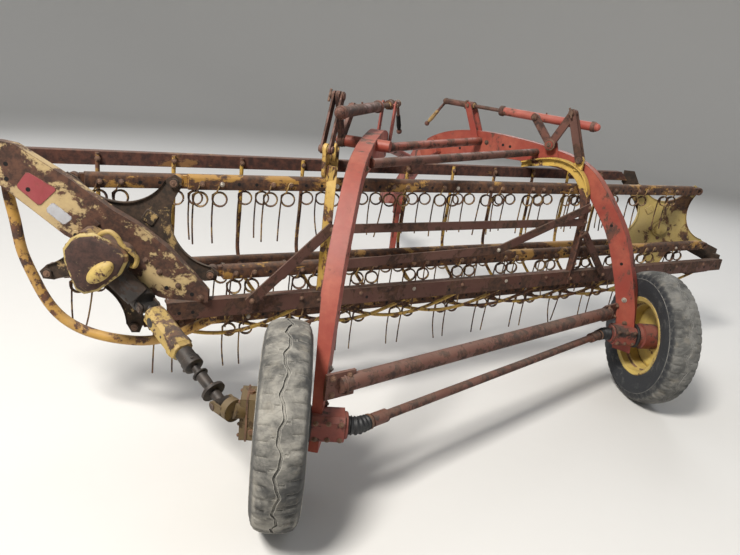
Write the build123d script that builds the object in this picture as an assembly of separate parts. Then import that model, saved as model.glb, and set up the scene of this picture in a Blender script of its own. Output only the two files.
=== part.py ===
from build123d import *
from math import cos, sin, radians, pi, hypot, atan2, degrees
import os

# Side-delivery bar rake, towed. Millimetres.
# +Y is the direction of travel, +X is to the right, +Z is up.
# Dimensions are measured on the ground from midway between the two tyres.
# The files have their origin at the bottom centre of the machine's box, which is here:
ORIGIN_X = -148.4
ORIGIN_Y = 1200.0

# Driving dimensions: wheels
TRACK_HALF = 929.0        # wheel centre to the middle, sideways
STAGGER_HALF = 495.0      # the right wheel runs ahead of the left
TYRE_R = 345.0
TYRE_W = 160.0
RIM_R = 190.5             # 15 inch rim
HUB_Z = 345.0

# Driving dimensions: basket and reel
BASKET_ANGLE = 24.4       # tooth bars to the wheel axles
REEL_X = -1546.0          # centre of the left reel head
REEL_Y = -13.0
REEL_Z = 757.0
BAR_LEN = 3172.0          # left reel head to right reel head, along the bars
REEL_R = 310.0            # bar circle
PHASE = 4.3               # turn of the reel as it stands
ARM_ANGLES = (-90, -18, 54, 126, 198)
BAR_H = 54.0
BAR_D = 40.0
STRIP_FIRST = 266.0       # first stripper, along the bars
STRIP_PITCH = 278.0
STRIP_D = 14.0
TOOTH_FIRST = 127.0
TOOTH_HALF = 37.0         # half the spacing of the two legs
STRIP_COUNT = int((BAR_LEN - STRIP_FIRST - 100) // STRIP_PITCH) + 1
TOOTH_COUNT = int((BAR_LEN - TOOTH_FIRST - TOOTH_HALF - 60) // STRIP_PITCH) + 1
TOOTH_LEG = 245.0         # bar centre to tooth tip
COIL_R = 30.0
COIL_DROP = 66.0
WIRE = 7.0

# Driving dimensions: frame
ARCH_W = 62.0             # flange width
ARCH_T = 7.0
LEFT_ARCH = (132.0 - TRACK_HALF, -STAGGER_HALF, 12.0)     # x, y, heading of its plane
RIGHT_ARCH = (TRACK_HALF - 117.0, STAGGER_HALF, -45.0)
CROSS_TUBE_D = 60.0
SHAFT_D = 34.0
REEL_SHAFT = 44.0

# Driving dimensions: slanting drive shaft, from the gear case to the left wheel
DRIVE_B = Vector(REEL_X + 106, REEL_Y - 157, REEL_Z - 172)
DRIVE_A = Vector(-TRACK_HALF - 199, -STAGGER_HALF, HUB_Z + 60)
DRIVE_D = (DRIVE_A - DRIVE_B).normalized()
DRIVE_AX = Vector(-DRIVE_D.Y, DRIVE_D.X, 0).normalized()

# Driving dimensions: lift gear, along and above each lift plane
S_PIN, S_TIP1, S_PIVOT, S_TIP2, S_BEAR = 440.0, 528.0, 617.0, 730.0, 1163.0
LIFT_DROP = -28.0         # the left lift gear sits this much lower above its pin

CA = cos(radians(BASKET_ANGLE))
SA = sin(radians(BASKET_ANGLE))
os.makedirs("parts", exist_ok=True)


def bp(u, v, z):
    """Point in the basket: u along the bars, v sideways, z from the reel centre."""
    return Vector(REEL_X + v + u * CA, REEL_Y + u * SA, REEL_Z + z)


def rod(p, q, d):
    """Round bar between two points."""
    p, q = Vector(*p), Vector(*q)
    w = q - p
    pl = Plane(origin=p, z_dir=w)
    return extrude(pl * Circle(d / 2), w.length)


def pipe(p, q, d, t):
    """Round tube between two points."""
    p, q = Vector(*p), Vector(*q)
    w = q - p
    pl = Plane(origin=p, z_dir=w)
    return extrude(pl * (Circle(d / 2) - Circle(d / 2 - t)), w.length)


def flat(p, q, w, h, side=(0, 0, 1)):
    """Flat bar between two points, h measured towards side."""
    p, q = Vector(*p), Vector(*q)
    d = q - p
    x = Vector(*side).cross(d).normalized()
    pl = Plane(origin=p, x_dir=x, z_dir=d)
    return extrude(pl * Rectangle(w, h), d.length)


def knob(centre, along, r):
    """Ball turned about the rod that it ends."""
    side = along.cross(Vector(0, 0, 1)).normalized()
    pl = Plane(origin=centre, x_dir=side, z_dir=along)
    half = pl * Rot(90, 0, 0) * make_face([Line((0, -r), (0, r)), ThreePointArc((0, r), (r, 0), (0, -r))])
    return revolve(half, Axis(centre, along), 360)


def swept(points, d):
    """Round rod along a smooth curve in one plane."""
    path = Spline([Vector(*p) for p in points])
    start = Plane(origin=path @ 0, z_dir=path % 0)
    return sweep(start * Circle(d / 2), path=path)


def fork(centre, towards, gap):
    """Two ears and a cross pin at a shaft joint, reaching back towards their block."""
    up = DRIVE_AX.cross(towards)
    body = rod(centre - DRIVE_AX * (gap + 4), centre + DRIVE_AX * (gap + 4), 14)
    for k in (-1, 1):
        c = centre + DRIVE_AX * (k * gap)
        body = body + flat(c, c + towards * 44, 8, 30, up)
        body = body + rod(c - DRIVE_AX * 4, c + DRIVE_AX * 4, 34)
    return body


def face_of(points):
    """Flat polygon in the local XY plane."""
    return make_face(Polyline([(x, y) for x, y in points], close=True))


def curved_face(outer, inner):
    """Face between a smooth outer curve and a smooth inner curve."""
    a = Spline([(x, y) for x, y in outer])
    b = Spline([(x, y) for x, y in inner])
    c = Line(a @ 1, b @ 1)
    d = Line(b @ 0, a @ 0)
    return make_face([a, c, b, d])


def arch_plane(spec):
    """Upright plane of an arch: local x runs forward, local y is up."""
    x, y, az = spec
    a = radians(az)
    dx, dy = sin(a), cos(a)
    return Plane(origin=(x, y, 0), x_dir=(dx, dy, 0), z_dir=(dy, -dx, 0))


def upright(y):
    """Plane across the direction of travel at y: local x is +X, local y is +Z."""
    return Plane(origin=(0, y, 0), x_dir=(1, 0, 0), z_dir=(0, -1, 0))


def basket_plane(along):
    """Plane square to the bars: local x points to the rear, local y is up."""
    o = (REEL_X + along * CA, REEL_Y + along * SA, REEL_Z)
    return Plane(origin=o, x_dir=(SA, -CA, 0), z_dir=(-CA, -SA, 0))


def along_basket(points, start, end):
    """Section (rearward, up) drawn out along the bars from start to end."""
    return extrude(basket_plane(end) * face_of(points), end - start)


def save(name, shape, color):
    """Write one node, measured from the bottom centre of the whole machine's box."""
    solids = [Pos(-ORIGIN_X, -ORIGIN_Y, 0) * solid for solid in shape.solids()]
    shape = solids[0] if len(solids) == 1 else Compound(children=solids)
    shape.label = name
    shape.color = Color(*color)
    export_step(shape, "parts/" + name + ".step")
    size = shape.bounding_box().size
    print(name, "solids", len(shape.solids()), "vol", round(shape.volume / 1000), "cm3",
          [round(size.X), round(size.Y), round(size.Z)])


RED = (0.55, 0.13, 0.10)
RUST = (0.25, 0.14, 0.10)
CREAM = (0.62, 0.53, 0.34)
OCHRE = (0.60, 0.42, 0.12)
YELLOW = (0.72, 0.55, 0.12)
DARK = (0.12, 0.10, 0.09)
GREY = (0.20, 0.20, 0.20)

# wheels
TYRE_PROFILE = [(-62, 190.5), (-68, 205), (-79, 250), (-80, 285), (-74, 315), (-62, 334),
                (-40, 343), (0, 345), (40, 343), (62, 334), (74, 315), (80, 285), (79, 250),
                (68, 205), (62, 190.5), (50, 200), (60, 250), (60, 300), (45, 325), (0, 330),
                (-45, 325), (-60, 300), (-60, 250), (-50, 200)]
RIM_PROFILE = [(-70, 203), (-66, 203), (-62, 190), (-36, 186), (-28, 172), (30, 172), (40, 186),
               (62, 190), (66, 203), (70, 203), (68, 184), (46, 178), (36, 166), (-22, 166),
               (-34, 179), (-64, 183)]
DISC_PROFILE = [(36, 168), (30, 168), (24, 150), (34, 120), (30, 60), (30, 34), (38, 34),
                (38, 60), (42, 122), (32, 152)]


def wheel(cx, cy, side, name):
    """Tyre and rim of one wheel. side is +1 where the dished face looks to +X."""
    ax = Plane(origin=(cx, cy, HUB_Z), x_dir=(1, 0, 0), z_dir=(0, -1, 0))
    tyre = revolve(ax * face_of(TYRE_PROFILE), Axis((cx, cy, HUB_Z), (1, 0, 0)), 360)
    rim = revolve(ax * face_of([(side * x, r) for x, r in RIM_PROFILE]), Axis((cx, cy, HUB_Z), (1, 0, 0)), 360)
    disc = revolve(ax * face_of([(side * x, r) for x, r in DISC_PROFILE]),
                   Axis((cx, cy, HUB_Z), (1, 0, 0)), 360)
    drum = [(-88, 26), (-88, 52), (-58, 56), (-54, 66), (20, 66), (29.5, 62), (29.5, 58),
            (38.5, 58), (52, 44), (60, 40), (60, 26)]
    hub = revolve(ax * face_of([(side * x, r) for x, r in drum]),
                  Axis((cx, cy, HUB_Z), (1, 0, 0)), 360)
    rim = rim + disc
    lugs = None
    for k in range(5):
        a = radians(72 * k + 20)
        bx = cx + side * 38
        p = (bx, cy + 46 * cos(a), HUB_Z + 46 * sin(a))
        q = (bx + side * 12, p[1], p[2])
        piece = extrude(Plane(origin=p, z_dir=(side, 0, 0)) * RegularPolygon(10, 6), 12)
        lugs = piece if lugs is None else lugs + piece
    save(name + "_tyre", tyre, DARK)
    save(name + "_rim", rim, YELLOW)
    save(name + "_hub", hub, RED)


wheel(-TRACK_HALF, -STAGGER_HALF, -1, "left")
wheel(TRACK_HALF, STAGGER_HALF, 1, "right")

# arches
ARCH_OUTER = [(-30, 250), (-12, 433), (71, 707), (162, 895), (235, 990), (308, 1075),
              (380, 1138), (464, 1178), (552, 1199), (642, 1214), (856, 1233), (1116, 1234),
              (1285, 1203), (1420, 1140)]
ARCH_INNER = [(62, 250), (84, 433), (168, 690), (255, 866), (325, 955), (395, 1040),
              (460, 1092), (540, 1112), (640, 1116), (856, 1112), (1116, 1090),
              (1285, 1050), (1400, 1020)]


def arch(spec, out, front, under):
    """Channel arch: web in the plane, flanges towards out (+1 right, -1 left)."""
    pl = arch_plane(spec)
    outer = [p for p in ARCH_OUTER if p[0] <= front]
    inner = [p for p in under if p[0] <= front]
    web = extrude(pl * curved_face(outer, inner), out * ARCH_T)
    off = lambda pts, d: [(x + d * nx, y + d * ny) for (x, y), (nx, ny) in zip(pts, normals(pts))]
    top = extrude(pl * curved_face(outer, off(outer, -ARCH_T)), out * ARCH_W)
    bot = extrude(pl * curved_face(off(inner, ARCH_T), inner), out * ARCH_W * 0.8)
    return web + top + bot


def normals(pts):
    """Unit normals of a point list, to the left of its run."""
    out = []
    for i in range(len(pts)):
        a = pts[max(i - 1, 0)]
        b = pts[min(i + 1, len(pts) - 1)]
        dx, dy = b[0] - a[0], b[1] - a[1]
        n = hypot(dx, dy)
        out.append((-dy / n, dx / n))
    return out


def on_arch(spec, s, z, off=0.0):
    """Point on an arch plane, off measured to its right."""
    x, y, az = spec
    a = radians(az)
    return Vector(x + s * sin(a) + off * cos(a), y + s * cos(a) - off * sin(a), z)


TRIM = TRACK_HALF - 93    # nothing of an arch stands outside this, beside the tyre
LEFT_UNDER = ARCH_INNER[:-3] + [(1116, 1102), (1285, 1098)]
left_arch = arch(LEFT_ARCH, -1, 1290, LEFT_UNDER)
left_arch = left_arch - Pos(-TRIM - 100, -STAGGER_HALF, 450) * Box(200, 900, 620)
right_arch = arch(RIGHT_ARCH, 1, 1500, ARCH_INNER)
right_arch = right_arch - Pos(TRIM + 100, STAGGER_HALF, 450) * Box(200, 900, 620)
save("left_arch", left_arch, RED)
save("right_arch", right_arch, RED)


# axle and cross members
def axle(spec, sign, name):
    """Hub housing under an arch, with the spindle the wheel runs on."""
    cx, cy = sign * TRACK_HALF, sign * STAGGER_HALF
    x_in, x_out = sign * (TRACK_HALF - 207), sign * (TRACK_HALF - 95)
    mid = (x_in + x_out) / 2
    box = Pos(mid, cy, HUB_Z) * Box(112, 96, 96)
    box = chamfer(box.edges().filter_by(Axis.X), 16)
    spindle = rod((x_out - sign * 4, cy, HUB_Z), (cx + sign * 84, cy, HUB_Z), 51.2)
    flange = rod((x_in + sign * 2, cy, HUB_Z), (x_in - sign * 12, cy, HUB_Z), 84)
    body = box + spindle + flange
    return body


left_axle = axle(LEFT_ARCH, -1, "left")
# drive housing outside the left wheel
left_axle = left_axle + Pos(-TRACK_HALF - 105, -STAGGER_HALF, HUB_Z + 27) * Box(64, 92, 150)
DRIVE_H = Vector(DRIVE_D.X, DRIVE_D.Y, 0).normalized()
left_axle = left_axle + rod(DRIVE_A + DRIVE_H * 38, DRIVE_A + DRIVE_H * 66, 76)
left_axle = left_axle + rod(DRIVE_A + DRIVE_H * 56, (-TRACK_HALF - 107, -STAGGER_HALF - 10, HUB_Z + 47), 58)
left_axle = left_axle + fork(DRIVE_A, DRIVE_H, 34)
right_axle = axle(RIGHT_ARCH, 1, "right")
cap = TRACK_HALF + 75
right_axle = right_axle + rod((cap, STAGGER_HALF, HUB_Z), (cap + 20, STAGGER_HALF, HUB_Z), 62)
save("left_axle", left_axle, RED)
save("right_axle", right_axle, RED)

TUBE_A = Vector(LEFT_ARCH[0] + 45, LEFT_ARCH[1] + 17, HUB_Z + 141)
TUBE_B = Vector(RIGHT_ARCH[0] - 122, RIGHT_ARCH[1] + 25, HUB_Z + 107)
cross = rod(TUBE_A, TUBE_B, CROSS_TUBE_D)
end_a = flat(TUBE_A + Vector(-48, -27, 1), TUBE_A + Vector(52, 36, -1), 12, 92, (0, 0, 1))
end_b = flat(TUBE_B + Vector(-40, -28, 1), TUBE_B + Vector(76, 53, -1), 12, 84, (0, 0, 1))
cross = cross + end_a + end_b
save("cross_tube", cross, RUST)

TOP_A = on_arch(LEFT_ARCH, 560, 1150, 8)
TOP_B = on_arch(RIGHT_ARCH, 700, 1176, 6)
top_brace = rod(TOP_A, TOP_B, 38)
save("top_brace", top_brace, RUST)

UP_A = on_arch(LEFT_ARCH, 1180, 1150, 8)
UP_B = on_arch(RIGHT_ARCH, 1060, 1180, 6)
upper_tube = rod(UP_A, UP_B, 44)
save("upper_tube", upper_tube, RED)

# cross drive shaft between the two wheel drives, in a boot at each end
SH_A = Vector(253 - TRACK_HALF, -STAGGER_HALF, HUB_Z)
SH_B = Vector(TRACK_HALF - 253, STAGGER_HALF, HUB_Z)
SH_D = (SH_B - SH_A).normalized()
shaft = rod(SH_A - SH_D * 10, SH_B + SH_D * 10, SHAFT_D)
shaft = shaft + rod(SH_A + SH_D * 62, SH_A + SH_D * 130, 48) + rod(SH_B - SH_D * 62, SH_B - SH_D * 130, 48)
save("cross_shaft", shaft, RUST)
for nm, p, k in (("left_boot", SH_A, 1), ("right_boot", SH_B, -1)):
    boot = rod(p, p - Vector(k * 37, 0, 0), 58) + rod(p - SH_D * (k * 13), p + SH_D * (k * 24), 62)
    boot = boot + rod(p + SH_D * (k * 14), p + SH_D * (k * 52), 50)
    boot = boot - rod(p - SH_D * (k * 14), p + SH_D * (k * 60), SHAFT_D + 1.0)
    save(nm, boot, DARK)

# tongue and parking stand
T0 = on_arch(RIGHT_ARCH, 1440, 1060, 0)
T1 = Vector(-196, 2560, 560)
T2 = Vector(-196, 3100, 440)
tongue = flat(T0, T1, 76, 100) + flat(T1 - Vector(0, 30, 0), T2, 76, 90)
nose = flat(on_arch(RIGHT_ARCH, 1330, 1120, 0), T0 + Vector(0, 40, -20), 70, 96)
tongue = tongue + nose
stay = rod(on_arch(LEFT_ARCH, 1280, 1150, -20), T0 + Vector(20, 200, -100), 44)
tongue = tongue + stay
save("tongue", tongue, RED)

# hitch clevis at the nose, pin bore upright
HITCH_Y = 3190.0
HITCH_BORE = 14.0
ears = None
for dz in (-30, 30):
    ear = Pos(-196, 3150, 440 + dz) * Box(70, 110, 16) + Pos(-196, HITCH_Y + 15, 440 + dz) * Cylinder(35, 16)
    ear = ear - Pos(-196, HITCH_Y + 15, 440 + dz) * Cylinder(HITCH_BORE, 30)
    ears = ear if ears is None else ears + ear
ears = ears + Pos(-196, 3104, 440) * Box(70, 24, 76)
save("hitch_clevis", ears, DARK)

# parking stand: sleeve on the tongue, post with a foot sliding in it
JACK = (-120.0, 2760.0)
sleeve = Pos(JACK[0], JACK[1], 500) * (Box(62, 62, 220) - Box(48, 48, 240))
sleeve = sleeve + Pos(JACK[0] - 37, JACK[1], 500) * Box(12, 60, 110)
save("stand_sleeve", sleeve, RED)
post = Pos(JACK[0], JACK[1], 312) * Box(47.2, 47.2, 600) + Pos(JACK[0], JACK[1], 6) * Box(150, 150, 12)
save("stand_post", post, RED)

# basket
BEAM_V, BEAM_Z = 415.0, -195.0
BEAM_U0, BEAM_U1 = -284.0, BAR_LEN + 61
RAIL_V = -385.0
BR = BEAM_V * SA          # rear beam, square distance behind the reel centre
br0 = BEAM_U0 + BEAM_V * CA
br1 = BEAM_U1 + BEAM_V * CA
beam_sec = [(BR + 24, -35 + BEAM_Z), (BR + 24, 35 + BEAM_Z), (BR - 18, 35 + BEAM_Z),
            (BR - 18, 28 + BEAM_Z), (BR + 17, 28 + BEAM_Z), (BR + 17, -28 + BEAM_Z),
            (BR - 18, -28 + BEAM_Z), (BR - 18, -35 + BEAM_Z)]
rear_beam = along_basket(beam_sec, br0, br1)
save("rear_beam", rear_beam, RUST)

RAIL_R = -165.0           # rear face of the top rail's web
rail_sec = [(RAIL_R, 275), (RAIL_R, 327), (RAIL_R - 40, 327), (RAIL_R - 40, 321),
            (RAIL_R - 6, 321), (RAIL_R - 6, 275)]
ra0 = -176 + RAIL_V * CA
ra1 = BAR_LEN + 128 + RAIL_V * CA
top_rail = along_basket(rail_sec, ra0, ra1)
save("top_rail", top_rail, OCHRE)

STRIP_PATH = [(-388, 322), (-388, 100), (-392, -20), (-388, -90), (-370, -160), (-330, -236),
              (-268, -304), (-160, -356), (-20, -378), (100, -374), (220, -336), (330, -276), (402, -231)]
strippers = []
for i in range(STRIP_COUNT):
    u = STRIP_FIRST + STRIP_PITCH * i
    pts = [bp(u, v, z) for v, z in STRIP_PATH]
    path = Polyline(pts)
    sec = Plane(origin=pts[0], z_dir=pts[1] - pts[0]) * RegularPolygon(STRIP_D / 2, 6)
    strippers.append(sweep(sec, path=path, transition=Transition.RIGHT))
save("strippers", Compound(children=strippers), YELLOW)

HOOP_Y = -22.0
HOOP_PATH = [(-1964, 980), (-1958, 905), (-1944, 825), (-1927, 713), (-1894, 619), (-1856, 534),
             (-1805, 464), (-1733, 415), (-1659, 391), (-1566, 379), (-1471, 383),
             (-1376, 414), (-1281, 467), (-1224, 500)]
hoop = swept([(x, HOOP_Y, z) for x, z in HOOP_PATH], 38)
hoop = hoop + rod((-1963, HOOP_Y, 968), (-1963, -90, 990), 30)
hoop = hoop + rod((-1232, HOOP_Y, 500), (-1224, -55, 536), 30)
save("end_hoop", hoop, OCHRE)

FRAME_OUT = [(-2120, 1118), (-1940, 1118), (-1894, 1112), (-1720, 1012), (-1580, 916),
             (-1499, 873), (-1391, 794), (-1300, 700), (-1242, 634), (-1242, 594),
             (-1372, 594), (-1420, 602), (-1461, 622), (-1510, 692), (-1744, 810),
             (-1847, 890), (-1946, 965), (-2120, 1062)]
web_y = -105.0
end_web = extrude(upright(web_y) * face_of(FRAME_OUT), -40)
pocket = extrude(upright(web_y + 8) * offset(face_of(FRAME_OUT), -8), -40)
left_end = end_web - pocket
reel_a = (REEL_X, -120, REEL_Z)
reel_b = (REEL_X, -60, REEL_Z)
left_end = left_end + rod((REEL_X, -100, REEL_Z), (REEL_X, -67, REEL_Z), 84)
left_end = left_end - rod(reel_a, reel_b, REEL_SHAFT + 1.0)
save("left_end_frame", left_end, CREAM)

# left gear case, with the output to the slanting drive shaft
CASE_OUT = [(-1640, 856), (-1512, 790), (-1500, 770), (-1582, 668), (-1600, 656), (-1660, 640),
            (-1680, 652), (-1714, 785), (-1708, 806), (-1662, 852)]
case = extrude(upright(-105.2) * face_of(CASE_OUT), 92)
lip = extrude(upright(-197.2) * offset(face_of(CASE_OUT), 8, kind=Kind.INTERSECTION), 12)
dome = Pos(-1594, -205, 724) * Rot(0, 32, 0) * scale(Sphere(30), (1.5, 1.1, 0.9))
case = case + rod((-1575, -153, 712), (-1484, -153, 618), 86)
case = case + rod((REEL_X, -105.2, REEL_Z), (REEL_X, -190, REEL_Z), 96)
case = case - rod((REEL_X, -100, REEL_Z), (REEL_X, -158, REEL_Z), REEL_SHAFT + 1.0)
case = case + rod(DRIVE_B - DRIVE_D * 78, DRIVE_B - DRIVE_D * 30, 78)
case = case + fork(DRIVE_B, -DRIVE_D, 34)
save("gear_case", case, CREAM)
save("gear_cover", lip + dome, CREAM)

# hangers and flats
def along_beam(spec, off):
    """Distance along the bars to where the rear beam is off to the right of an arch plane."""
    x, y, az = spec
    nx, ny = cos(radians(az)), -sin(radians(az))
    return (nx * (x - REEL_X - BEAM_V) + ny * (y - REEL_Y) + off) / (nx * CA + ny * SA)


def hanger_plane(u, az):
    o = bp(u, BEAM_V, 0)
    a = radians(az)
    dx, dy = sin(a), cos(a)
    return Plane(origin=(o.X, o.Y, 0), x_dir=(dx, dy, 0), z_dir=(dy, -dx, 0))


def hanger_point(u, az, s, z, off=0.0):
    o = bp(u, BEAM_V, 0)
    a = radians(az)
    return Vector(o.X + s * sin(a) + off * cos(a), o.Y + s * cos(a) - off * sin(a), z)


HANG_OUT = [(-22, 530), (-30, 700), (-34, 860), (-26, 980), (-2, 1065), (50, 1130), (110, 1158),
            (190, 1168), (290, 1150), (384, 1118)]
HANG_IN = [(14, 530), (8, 700), (6, 860), (16, 960), (44, 1040), (92, 1096), (140, 1118),
           (200, 1122), (290, 1108), (384, 1086)]
HANG_L = (along_beam(LEFT_ARCH, -147.62), 3.0)
HANG_R = (along_beam(RIGHT_ARCH, -29.49), -45.0)
HANG_W = 40.0


def hanger(u, az):
    pl = hanger_plane(u, az)
    web = extrude(pl * curved_face(HANG_OUT, HANG_IN), 6)
    rim = [(x + 8 * nx, y + 8 * ny) for (x, y), (nx, ny) in zip(HANG_OUT, [(-a, -b) for a, b in normals(HANG_OUT)])]
    rib = extrude(pl * curved_face(HANG_OUT, rim), HANG_W / 2, both=True)
    lug = pl * (Pos(66, 1150) * Rectangle(44, 60) + Pos(66, 1176) * Circle(22))
    lug = extrude(lug, 8, both=True) + extrude(pl * (Pos(66, 1176) * Circle(18)), 12.4, both=True)
    return web + rib + lug


PIN_S, PIN_Z = 66.0, 1176.0
hl = hanger(*HANG_L)
hr = hanger(*HANG_R)
save("right_hanger", hr, YELLOW)

# flat ties behind the rear beam
def tie(p, q, h, t=9.0):
    """Flat bar on edge."""
    return flat(p, q, t, h)


def face_pt(u, z, back=31.0):
    """Point behind the beam's rear face line, back measured rearward from the beam centre."""
    return basket_plane(u + BEAM_V * CA).from_local_coords((BR + back, z - REEL_Z, 0))


def padded(body, ends):
    """Tie with the spacers at its ends. Each end is along, up, from, to."""
    for u, z, r0, r1 in ends:
        body = body + rod(face_pt(u, z, r0), face_pt(u, z, r1), 30)
    return body


HU_L, HU_R = HANG_L[0], HANG_R[0]
ties = tie(face_pt(HU_L + 5, 866, 34), face_pt(HU_R + 6, 872, 34), 38)
diag = tie(face_pt(HU_L - 2, 716, 43.5), face_pt(HU_R - 560, 748, 43.5), 40)
diag = diag + tie(face_pt(HU_R - 570, 746, 43.5), face_pt(HU_R + 10, 955, 43.5), 40)
diag = padded(diag, ((HU_L + 5, 717, 24, 42), (HU_R + 2, 952, 24, 42)))
left_diag = padded(tie(face_pt(HU_L + 5, 880, 43.5), face_pt(HU_L - 329, 580, 43.5), 42),
                   ((HU_L - 1, 868, 36, 42), (HU_L - 317, 590, 20, 42)))
right_diag = padded(tie(face_pt(HU_R + 10, 818, 43.5), face_pt(HU_R + 240, 566, 43.5), 40),
                    ((HU_R + 10, 812, 24, 42), (HU_R + 232, 574, 20, 42)))
save("basket_ties", Compound(children=[ties, diag, left_diag, right_diag]), RUST)

# reel heads
def star(y0, t):
    """Five-armed reel head plate, from y0 towards +Y by t."""
    pts = []
    edges = []
    n = len(ARM_ANGLES)
    tipr, half = REEL_R + 26, 30.0
    prev = None
    ang = [radians(a + PHASE) for a in ARM_ANGLES]
    loc = lambda r, a, off: (r * cos(a) - off * sin(a), r * sin(a) + off * cos(a))
    for k in range(n):
        a, b = ang[k], ang[k] + radians(72)
        p0 = loc(REEL_R - 8, a, -half)
        p1 = loc(tipr, a, -15)
        p2 = loc(tipr, a, 15)
        p3 = loc(REEL_R - 8, a, half)
        nxt = loc(REEL_R - 8, b, -half)
        mid = (178 * cos((a + b) / 2), 178 * sin((a + b) / 2))
        edges += [Line(p0, p1), Line(p1, p2), Line(p2, p3), ThreePointArc(p3, mid, nxt)]
    f = make_face(edges)
    return extrude(Plane(origin=(REEL_X, y0, REEL_Z), x_dir=(1, 0, 0), z_dir=(0, -1, 0)) * f, -t), ang


HEAD_Y = -28.0            # outer face of the left reel head, from the bar ends
PIN_D = 20.0
left_star, ANG = star(REEL_Y + HEAD_Y, 8)
left_star = left_star + rod((REEL_X, -59, REEL_Z), (REEL_X, -23, REEL_Z), 96)
left_star = left_star + rod((REEL_X, -152, REEL_Z), (REEL_X, -30, REEL_Z), REEL_SHAFT)
for a in ANG:
    x, z = REEL_X + REEL_R * cos(a), REEL_Z + REEL_R * sin(a)
    left_star = left_star + rod((x, REEL_Y - 40, z), (x, REEL_Y + 24, z), PIN_D)
    left_star = left_star + rod((x, REEL_Y - 40, z), (x, REEL_Y - 28, z), 34)
save("left_reel_head", left_star, CREAM)
DX, DY = BAR_LEN * CA, BAR_LEN * SA
rs, _ = star(REEL_Y + DY + 20, 8)
rs = Pos(DX, 0, 0) * rs
rx, ry = REEL_X + DX, REEL_Y + DY
rs = rs + rod((rx, ry + 10, REEL_Z), (rx, ry + 56, REEL_Z), 96)
rs = rs - rod((rx, ry + 18, REEL_Z), (rx, ry + 70, REEL_Z), REEL_SHAFT + 1.0)
for a in ANG:
    x, z = rx + REEL_R * cos(a), REEL_Z + REEL_R * sin(a)
    rs = rs + rod((x, ry + 28, z), (x, ry + 40, z), 34)
save("right_reel_head", rs, YELLOW)

# tooth bars
def tooth_bar(a):
    """One bar with its double teeth, and a bearing at each end."""
    bx, bz = REEL_R * cos(a), REEL_R * sin(a)
    o = bp(0, bx, bz)
    v_al = bx * CA
    sec = [(-BAR_D / 2, -BAR_H / 2), (BAR_D / 2, -BAR_H / 2), (BAR_D / 2, 16), (12, BAR_H / 2),
           (-12, BAR_H / 2), (-BAR_D / 2, 16)]
    r0 = bx * SA
    sec = [(r0 + x, bz + y) for x, y in sec]
    body = along_basket(sec, v_al + 42, v_al + BAR_LEN - 42)
    x, z = REEL_X + bx, REEL_Z + bz
    y0, y1 = REEL_Y, REEL_Y + DY
    for c, s in (((x, y0, z), 1), ((x + DX, y1, z), -1)):
        bush = rod((c[0], c[1] + s * 2, c[2]), (c[0], c[1] + s * 34, c[2]), 46)
        link = flat((c[0], c[1] + s * 16, c[2]), (c[0] + s * 66 * CA, c[1] + s * (16 + 66 * SA), c[2]), 28, 40)
        body = body + bush + link
        hole = rod((c[0], c[1] - s * 20, c[2]), (c[0], c[1] + s * 30, c[2]), PIN_D + 1.0)
        body = body - hole
    ty = REEL_Y
    tools = []
    for i in range(TOOTH_COUNT):
        u = TOOTH_FIRST + STRIP_PITCH * i
        for s in (-1, 1):
            c = bp(u + s * TOOTH_HALF, bx, bz)
            cy = c.Y
            ring = extrude(Plane(origin=(c.X, cy - 9, c.Z - COIL_DROP), x_dir=(1, 0, 0), z_dir=(0, 1, 0))
                           * (RegularPolygon(COIL_R, 8) - RegularPolygon(COIL_R - 8, 8)), 18)
            leg = Pos(c.X - COIL_R + 6, cy, c.Z - (COIL_DROP + TOOTH_LEG) / 2) * Box(WIRE, WIRE, TOOTH_LEG - COIL_DROP)
            neck = Pos(c.X, cy, c.Z - COIL_DROP / 2 - 10) * Box(WIRE, 12, COIL_DROP - 16)
            tools += [ring, leg, neck]
    return body.fuse(*tools)


for k, a in enumerate(ANG):
    save("tooth_bar_%d" % (k + 1), tooth_bar(a), OCHRE)

# right end frame: from the top rail over the hub to the rear beam, beyond the head
END_Y = ry + 66
RIGHT_OUT = [(-296.7, 1092), (-230.7, 1092), (-142.7, 958), (-52.7, 826), (2.3, 816), (77.3, 790),
             (469.3, 650), (469.3, 556), (427.3, 556), (77.3, 692), (-12.7, 698), (-80.7, 738),
             (-182.7, 905), (-296.7, 1020)]
right_end = extrude(upright(END_Y + 8) * face_of([(rx + x, z) for x, z in RIGHT_OUT]), 8)
right_end = right_end + rod((rx, ry + 20, REEL_Z), (rx, END_Y + 4, REEL_Z), REEL_SHAFT)
right_end = right_end + rod((rx, ry + 62, REEL_Z), (rx, END_Y + 16, REEL_Z), 88)
right_end = right_end + Pos(rx + 453.3, ry + 48.6, 590) * Box(30, 56, 62)
save("right_end_frame", right_end, CREAM)


# slanting drive shaft: tube on the gear case, bar on the wheel drive
def eye(centre, towards):
    """Shaft end round the cross pin of a fork."""
    body = rod(centre - DRIVE_AX * 24, centre + DRIVE_AX * 24, 36)
    body = body + rod(centre + towards * 8, centre + towards * 52, 36)
    return body - rod(centre - DRIVE_AX * 40, centre + DRIVE_AX * 40, 15)


upper = pipe(DRIVE_B + DRIVE_D * 44, DRIVE_B + DRIVE_D * 300, 54, 6)
upper = upper + eye(DRIVE_B, DRIVE_D)
upper = upper + rod(DRIVE_B + DRIVE_D * 38, DRIVE_B + DRIVE_D * 58, 54)
upper = upper + pipe(DRIVE_B + DRIVE_D * 286, DRIVE_B + DRIVE_D * 312, 66, 12)
save("drive_shaft_upper", upper, RUST)
lower = rod(DRIVE_A - DRIVE_D * 30, DRIVE_A - DRIVE_D * 330, 28)
lower = lower + eye(DRIVE_A, -DRIVE_D)
lower = lower + rod(DRIVE_A - DRIVE_D * 58, DRIVE_A - DRIVE_D * 48, 82)
save("drive_shaft_lower", lower, RUST)

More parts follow.
